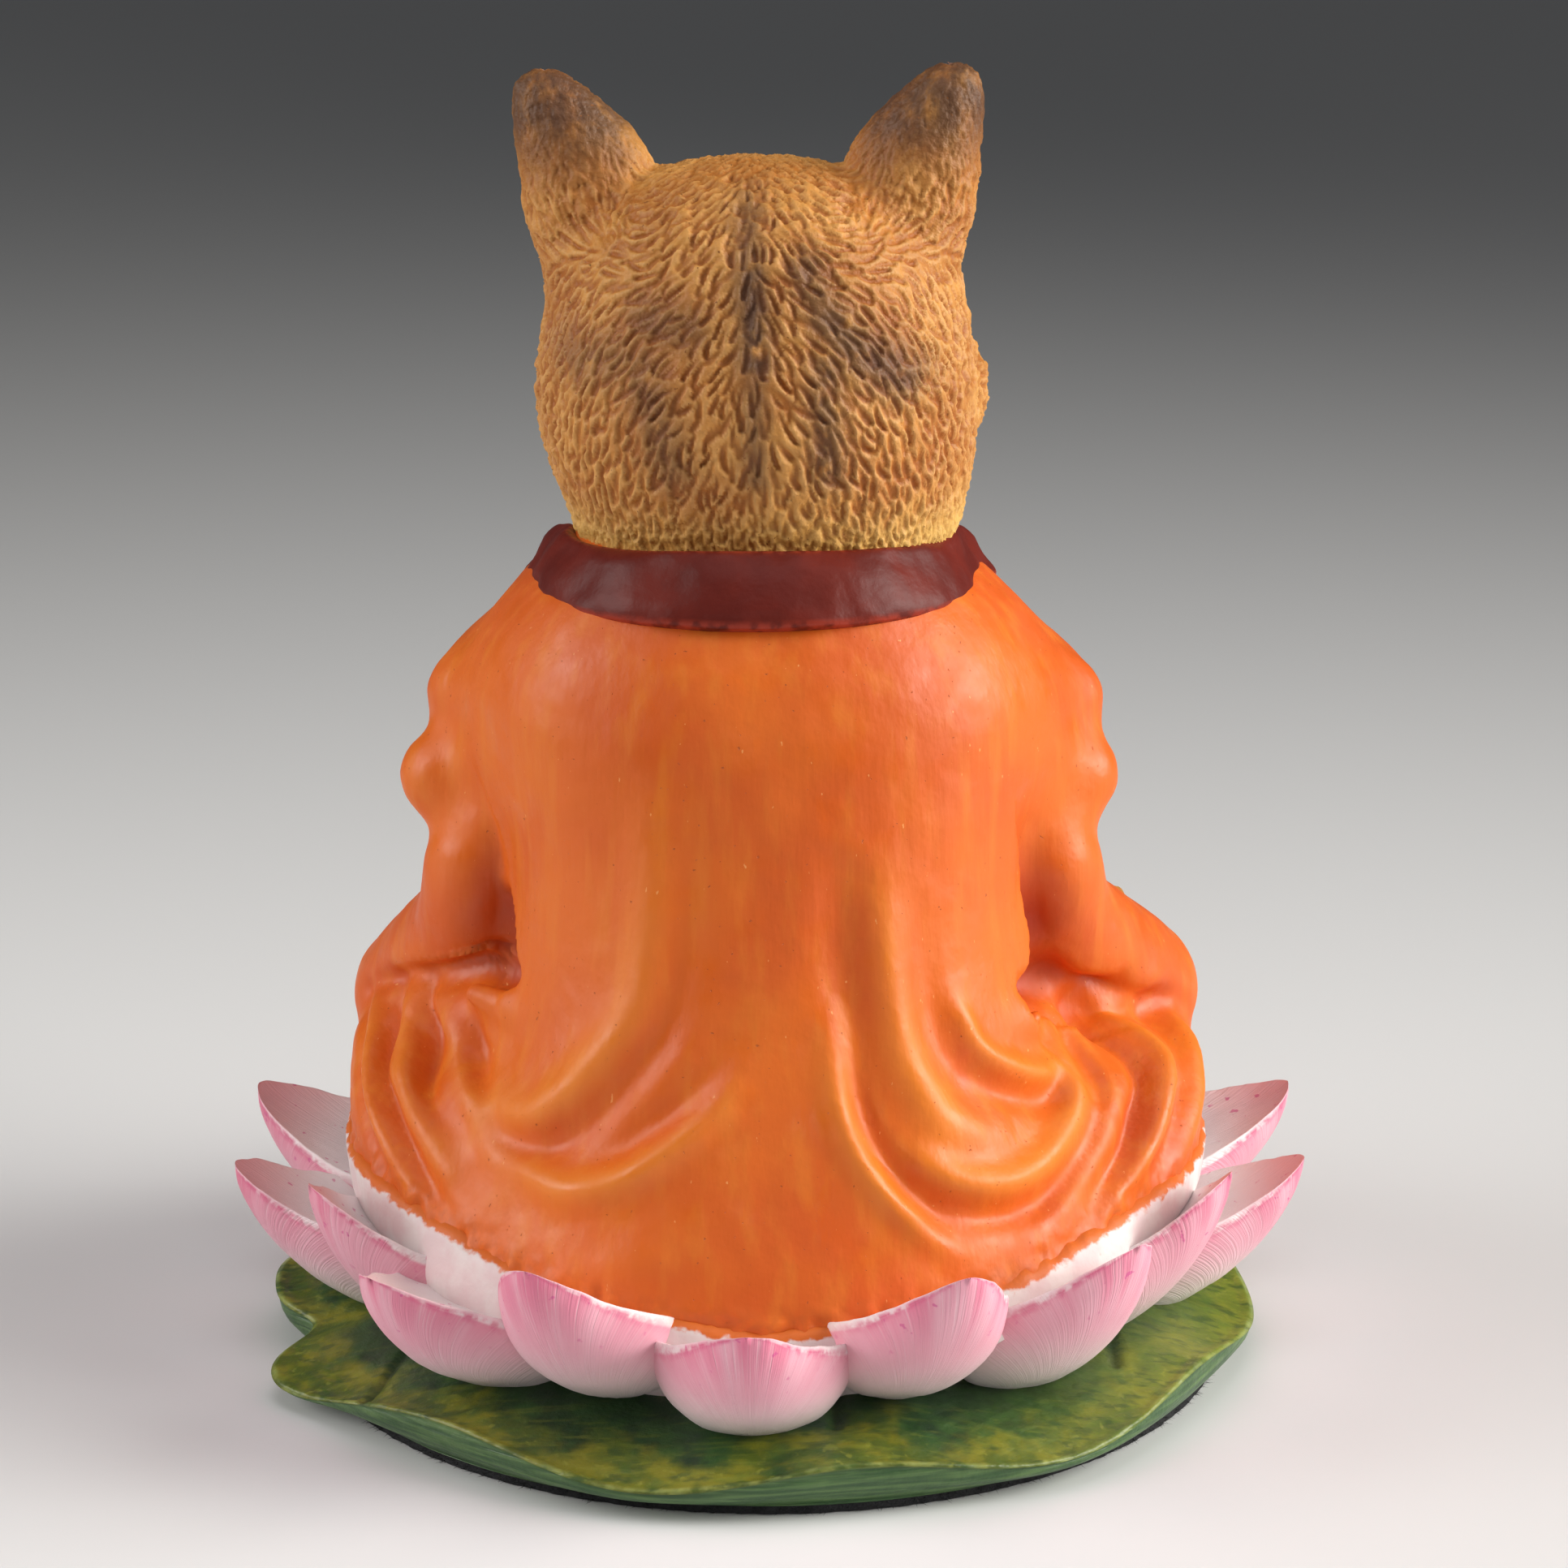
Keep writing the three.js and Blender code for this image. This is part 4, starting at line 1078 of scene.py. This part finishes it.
def make_paws(material):
    for name, place, side in (("left_paw", LEFT_PAW, 1), ("right_paw", RIGHT_PAW, -1)):
        def form(p, place=place, side=side):
            return paw(p, place, side)

        points, faces, normals = skin(form, np.array(place) - 12, np.array(place) + 12, PAW_CELL)
        flow = flattened(np.array([0, -1, -0.2]), normals)
        depth = carved(points, normals, flow, PAW_CUTS, 41)
        piece(name, points - normals * depth[:, None], faces, material, groove=depth / 0.3)


def fibres(radius, count, seed):
    """Thin closed spikes of loose wool round the edge of the felt."""
    chance = np.random.default_rng(seed)
    azimuth = chance.uniform(0, 360, count)
    out = outward(azimuth)
    side = np.stack([out[:, 1], -out[:, 0], 0 * azimuth], 1)
    root = out * (radius - 0.3) + np.array([0, 0, 1]) * chance.uniform(0.2, 0.8, count)[:, None]
    away = out * chance.uniform(0.3, 1, (count, 1)) + side * chance.normal(0, 0.7, (count, 1))
    away[:, 2] = chance.uniform(-0.2, 0.35, count)
    tip = root + directions(away) * chance.uniform(0.5, 1.5, (count, 1))
    tip[:, 2] = np.maximum(tip[:, 2], 0.08)
    up = np.array([0, 0, FIBRE_THICKNESS])
    side *= FIBRE_THICKNESS
    points = np.stack([root + side, root + up, root - side - up * 0.5, tip], 1).reshape(-1, 3)
    corners = np.array([(0, 1, 2, 2), (0, 3, 1, 1), (1, 3, 2, 2), (2, 3, 0, 0)])
    faces = (np.arange(count)[:, None, None] * 4 + corners).reshape(-1, 4)
    return points, faces


def make_felt(material):
    low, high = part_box(FELT)
    radius = (high[0] - low[0]) / 2 / MM
    thick = (high[2] - low[2]) / MM
    around = 720
    out = outward(azimuths(around))
    rows = [(radius - 1.2, 0), (radius - 0.4, 0.05)]
    for share in (0, 0.3, 0.6, 1):
        rows.append((radius - 0.15 + 0.15 * math.sin(math.pi * share), 0.1 + (thick - 0.1) * share))
    points = stacked(out, rows)
    fuzz = 0.14 * grain(points, 0.7, 51) * (points[:, 2] > 0.06)
    points[:, :2] += fuzz[:, None] * np.tile(out[:, :2], (len(rows), 1))
    points, faces = closed(points, len(rows), around, False)
    spikes, spike_faces = fibres(radius, FIBRES, 52)
    faces = np.concatenate([faces, spike_faces + len(points)])
    piece("felt", np.concatenate([points, spikes]), faces, material, node=FELT, slot="felt")


class Paint:
    """A painted finish: a Principled shader, and short calls that lay coats of colour over each other."""

    def __init__(self, name, roughness, specular=0.5):
        self.material = bpy.data.materials.new(name)
        self.material.use_nodes = True
        self.tree = self.material.node_tree
        self.shader = self.tree.nodes["Principled BSDF"]
        self.shader.inputs["Roughness"].default_value = roughness
        self.shader.inputs["Specular IOR Level"].default_value = specular
        self.place = self.node("TexCoord", "Object")
        self.colour = None

    def node(self, kind, output=0, inputs=None, **settings):
        """An output of a new node, with sockets or plain values on its inputs."""
        made = self.tree.nodes.new("ShaderNode" + kind)
        for key, value in settings.items():
            setattr(made, key, value)
        for key, value in (inputs or {}).items():
            if isinstance(value, bpy.types.NodeSocket):
                self.tree.links.new(value, made.inputs[key])
            else:
                made.inputs[key].default_value = (*value, 1) if key in (MIX_UNDER, MIX_OVER) else value
        return made.outputs[output]

    def value(self, label):
        """A value that the mesh holds at each point."""
        return self.node("Attribute", "Fac", attribute_name=label)

    def noise(self, size, detail, stretch=(1, 1, 1), place=None):
        """Noise in lumps of a size in millimetres, drawn out along an axis where its stretch is over 1."""
        unit = size if place else size * MM
        scale = [1 / (unit * k) for k in stretch]
        mapped = self.node("Mapping", inputs={"Vector": place or self.place, "Scale": scale})
        return self.node("TexNoise", inputs={"Vector": mapped, "Scale": 1.0, "Detail": detail})

    def rise(self, value, low, high):
        """Smooth rise from 0 at low to 1 at high."""
        inputs = {"Value": value, "From Min": low, "From Max": high}
        return self.node("MapRange", inputs=inputs, interpolation_type="SMOOTHSTEP")

    def spots(self, size, detail, low, high, stretch=(1, 1, 1)):
        """1 where a noise is high and 0 where it is low."""
        return self.rise(self.noise(size, detail, stretch), low, high)

    def math(self, operation, a, b):
        return self.node("Math", inputs={0: a, 1: b}, operation=operation)

    def times(self, share, *others):
        for other in others:
            share = self.math("MULTIPLY", share, other)
        return share

    def mix(self, share, under, over):
        inputs = {MIX_SHARE: share, MIX_UNDER: under, MIX_OVER: over}
        return self.node("Mix", 2, inputs, data_type="RGBA")

    def coat(self, colour, *shares):
        """A coat of colour over the ones before it, as dense as the product of the shares."""
        self.colour = self.mix(self.times(*shares), self.colour, colour)

    def finish(self, height, distance, roughness=None):
        """The material with its coats, and with a bump of a depth in millimetres."""
        bump = self.node("Bump", inputs={"Height": height, "Distance": distance * MM, "Strength": 1.0})
        for name, socket in (("Base Color", self.colour), ("Normal", bump), ("Roughness", roughness)):
            if socket is not None:
                self.tree.links.new(socket, self.shader.inputs[name])
        return self.material


def furry(paint):
    """Coats for carved fur, from the values that its mesh holds: painted shade over the darker wash in the
    grooves, and a painted highlight over dry-brush on the ridges.
    """
    paint.colour = paint.mix(paint.spots(8, 3, 0.38, 0.66), TAN, TAN_LIGHT)
    paint.coat(CREAM, paint.value("low"))
    # Darker groove floors: the wash that collects in the cuts, and painted shade there too
    paint.coat(TAN_WASH_AND_SHADE, paint.rise(paint.value("groove"), 0.15, 1.0), 0.8)
    # Paler ridge tops: dry-brushed paint, and a painted highlight there too
    paint.coat(RIDGE_DRYBRUSH_AND_HIGHLIGHT, paint.value("ridge"), 0.5)
    patch = paint.times(paint.value("patch"), paint.spots(2.2, 4, 0.1, 0.5))
    tip = paint.times(paint.value("tip"), paint.spots(1.6, 4, 0.0, 0.6, (1, 1, 3)))
    paint.coat(TABBY, paint.math("MAXIMUM", patch, tip), 0.88)
    specks = paint.spots(0.4, 2, 0.68, 0.76)
    paint.coat((0.26, 0.085, 0.015), specks)


def fur_paint():
    paint = Paint("fur_paint", 0.5, 0.35)
    furry(paint)
    paint.coat((0.72, 0.36, 0.25), paint.value("inner"))
    paint.coat((0.42, 0.13, 0.1), paint.value("nose"))
    paint.coat((0.03, 0.014, 0.01), paint.value("line"))
    return paint.finish(paint.noise(0.45, 4), 0.16)


def robe_paint():
    paint = Paint("robe_paint", 0.48, 0.42)
    furry(paint)
    fur = paint.colour
    paint.colour = paint.mix(paint.spots(20, 2, 0.35, 0.65), ORANGE, ORANGE_DEEP)
    streaks = paint.spots(2.4, 4, 0.45, 0.75, (1, 1, 9))
    paint.coat((0.8, 0.23, 0.02), streaks, 0.4)
    # Painted highlight: lighter orange on the fold crests
    paint.coat((0.86, 0.29, 0.03), paint.value("painted_crest_highlight"), 0.45)
    # Painted shade: dark red-orange in the fold valleys and step pits
    paint.coat((0.46, 0.052, 0.008), paint.value("painted_fold_shade"))
    dark = paint.spots(0.5, 2, 0.73, 0.77)
    paint.coat((0.4, 0.08, 0.012), dark, 0.6)
    flecks = paint.spots(0.6, 2, 0.745, 0.77, (1, 1, 2))
    paint.coat((0.92, 0.42, 0.14), flecks, 0.6)
    crumbs = paint.spots(1.1, 4, 0.35, 0.6)
    paint.coat((0.6, 0.115, 0.01), paint.value("hem"), crumbs, 0.7)
    paint.coat(fur, paint.value("chest"))
    height = paint.math("ADD", paint.noise(3, 3), paint.times(dark, -0.6))
    height = paint.math("ADD", height, paint.times(paint.noise(0.9, 3, (1, 1, 10)), 0.35))
    return paint.finish(height, 0.14, paint.spots(4, 3, -0.7, 1.8))


def collar_paint():
    paint = Paint("collar_paint", 0.45, 0.25)
    paint.colour = paint.mix(paint.spots(5, 3, 0.3, 0.7), MAROON, MAROON_LIGHT)
    paint.coat((0.42, 0.045, 0.02), paint.value("lower"), paint.spots(1.5, 3, 0.3, 0.6), 0.8)
    paint.coat((0.4, 0.06, 0.02), paint.value("upper"), paint.spots(0.9, 3, 0.4, 0.6), 0.6)
    return paint.finish(paint.noise(2.2, 4), 0.16)


def petal_paint():
    paint = Paint("petal_paint", 0.5)
    rise, along = paint.value("rise"), paint.value("along")
    fan = paint.node("CombineXYZ", inputs={0: paint.value("fan"), 1: paint.times(rise, 1.6), 2: 0.0})
    lines = paint.noise(1, 4, (0.55, 1, 1), fan)
    broad = paint.noise(1, 3, (7, 2, 1), fan)
    top = paint.mix(paint.rise(along, 0.6, 1.0), (0.9, 0.8, 0.8), (0.86, 0.5, 0.56))
    paint.colour = paint.mix(paint.rise(rise, 0.08, 0.6), PETAL_WHITE, PETAL_PINK)
    paint.coat((0.76, 0.17, 0.29), paint.rise(rise, 0.4, 1.05), paint.rise(broad, 0.3, 0.65))
    paint.coat((0.9, 0.74, 0.76), paint.rise(lines, 0.55, 0.75), 0.35)
    paint.coat((0.66, 0.2, 0.32), paint.rise(lines, 0.47, 0.3), paint.rise(rise, 0.2, 0.7), 0.22)
    paint.colour = paint.mix(paint.rise(paint.value("outer"), 0.0, 0.07), top, paint.colour)
    rim = paint.times(paint.value("rim"), paint.rise(along, 0.3, 0.8), paint.spots(1.2, 4, 0.32, 0.6))
    paint.coat((0.68, 0.07, 0.2), rim, 0.9)
    blots = paint.spots(1.3, 2, 0.68, 0.73)
    paint.coat((0.66, 0.07, 0.28), blots, paint.rise(rise, 0.4, 0.8), 0.7)
    return paint.finish(lines, 0.14)


def core_paint():
    paint = Paint("core_paint", 0.55)
    paint.colour = paint.mix(paint.spots(4, 3, 0.35, 0.65), (0.8, 0.72, 0.7), (0.76, 0.6, 0.6))
    stain = paint.math("ADD", paint.value("stain"), paint.noise(1.4, 4))
    paint.coat((0.68, 0.145, 0.012), paint.rise(stain, 0.72, 0.95))
    return paint.finish(paint.noise(1.6, 4), 0.14)


def leaf_paint():
    """Green in painted shade near the lotus and yellow-green outside, with brush strokes on top and side,
    painted shade in the slit and creases, painted light on the -X side and a painted highlight along the rim.
    """
    paint = Paint("leaf_paint", 0.4)
    share = paint.value("share")
    sunny = paint.mix(paint.spots(4, 4, 0.4, 0.6), (0.08, 0.115, 0.009), (0.2, 0.2, 0.012))
    paint.colour = paint.mix(paint.spots(3, 4, 0.4, 0.6), (0.008, 0.036, 0.009), (0.026, 0.085, 0.015))
    zone = paint.math("ADD", share, paint.times(paint.noise(7, 4), 1.3))
    paint.coat(sunny, paint.rise(zone, 1.32, 1.6))
    # Painted light: lighter yellow-green on the -X side of the leaf
    painted_lit_side = paint.times(paint.node("SeparateXYZ", inputs={"Vector": paint.place}), -1.0)
    paint.coat((0.22, 0.28, 0.03), paint.rise(painted_lit_side, 0.015, 0.045), 0.5)
    strokes = paint.spots(0.8, 4, 0.5, 0.7, (7, 1, 1))
    paint.coat((0.24, 0.28, 0.03), strokes, 0.3)
    marks = paint.spots(1.3, 5, 0.5, 0.66, (2.5, 1, 1))
    paint.coat((0.02, 0.062, 0.012), marks, 0.6)
    fresh = paint.spots(2.6, 4, 0.48, 0.75)
    paint.coat((0.05, 0.125, 0.02), fresh, 0.5)
    pale = paint.spots(1.2, 2, 0.6, 0.72)
    paint.coat((0.3, 0.33, 0.05), pale, paint.rise(share, 0.7, 0.98), 0.5)
    # Painted shade on the top of the leaf close to the lotus
    painted_shade_near_lotus = paint.math("SUBTRACT", 1.0, paint.rise(share, 0.55, 0.82))
    paint.coat((0.012, 0.035, 0.012), painted_shade_near_lotus, 0.6)
    # Painted shade: near black in the slit and creases
    paint.coat((0.01, 0.024, 0.01), paint.value("dent"))
    brush = paint.noise(0.45, 4, (16, 16, 1))
    side = paint.mix(paint.rise(brush, 0.35, 0.7), (0.028, 0.08, 0.022), (0.09, 0.17, 0.05))
    paint.coat(side, paint.rise(share, 1.0, 1.1))
    # Painted highlight: pale band along the rounded rim between top and side
    edge = paint.math("SUBTRACT", paint.rise(share, 0.965, 0.99), paint.rise(share, 1.0, 1.06))
    paint.coat((0.3, 0.36, 0.1), edge, paint.spots(2, 3, 0.4, 0.65), 0.55)
    return paint.finish(paint.math("ADD", brush, paint.noise(1.4, 4)), 0.2)


def felt_cloth():
    paint = Paint("felt_cloth", 0.95)
    paint.colour = paint.mix(paint.noise(0.4, 4), (0.006, 0.006, 0.007), (0.03, 0.03, 0.034))
    return paint.finish(paint.noise(0.25, 4), 0.3)


def aim(thing, place, target):
    """Puts a camera or a light in the scene, turned towards a place."""
    thing.location = place
    thing.rotation_mode = "QUATERNION"
    thing.rotation_quaternion = (Vector(target) - Vector(place)).to_track_quat("-Z", "Y")
    bpy.context.scene.collection.objects.link(thing)


def make_camera():
    """A long lens at the photograph's angle, looking down on the figure's back."""
    camera = bpy.data.cameras.new("camera")
    camera.sensor_width = 36
    camera.lens = LENS
    camera.clip_start = 0.01
    made = bpy.data.objects.new("camera", camera)
    back = Vector((0, math.cos(CAMERA_ELEVATION), math.sin(CAMERA_ELEVATION)))
    aim(made, CAMERA_TARGET + CAMERA_DISTANCE * back, CAMERA_TARGET)
    bpy.context.scene.camera = made


def make_light(name, place, size, power, colour):
    light = bpy.data.lights.new(name, "AREA")
    light.size = size
    light.energy = power
    light.color = colour
    light.spread = LIGHT_SPREAD
    aim(bpy.data.objects.new(name, light), place, LIGHT_TARGET)


def make_floor():
    bpy.ops.mesh.primitive_plane_add(size=FLOOR_SIZE, location=(0, 0, 0))
    floor = bpy.context.object
    floor.name = "floor"
    paper = Paint("floor_paper", 0.7)
    paper.shader.inputs["Base Color"].default_value = (0.8, 0.8, 0.8, 1)
    floor.data.materials.append(paper.material)


def make_studio():
    make_camera()
    make_floor()
    world = bpy.data.worlds.new("studio")
    bpy.context.scene.world = world
    world.use_nodes = True
    background = world.node_tree.nodes["Background"]
    background.inputs["Color"].default_value = (0.95, 0.97, 1, 1)
    background.inputs["Strength"].default_value = 0.07
    for light in LIGHTS:
        make_light(*light)
    bpy.context.scene.view_settings.view_transform = "Standard"


make_studio()
fur_finish, petal_finish = fur_paint(), petal_paint()
make_robe(robe_paint())
make_collar(collar_paint())
make_head(fur_finish)
make_paws(fur_finish)
make_petals("lower_petals", LOWER_PETALS, petal_finish)
make_petals("upper_petals", UPPER_PETALS, petal_finish)
make_core(core_paint())
make_leaf(leaf_paint())
make_felt(felt_cloth())
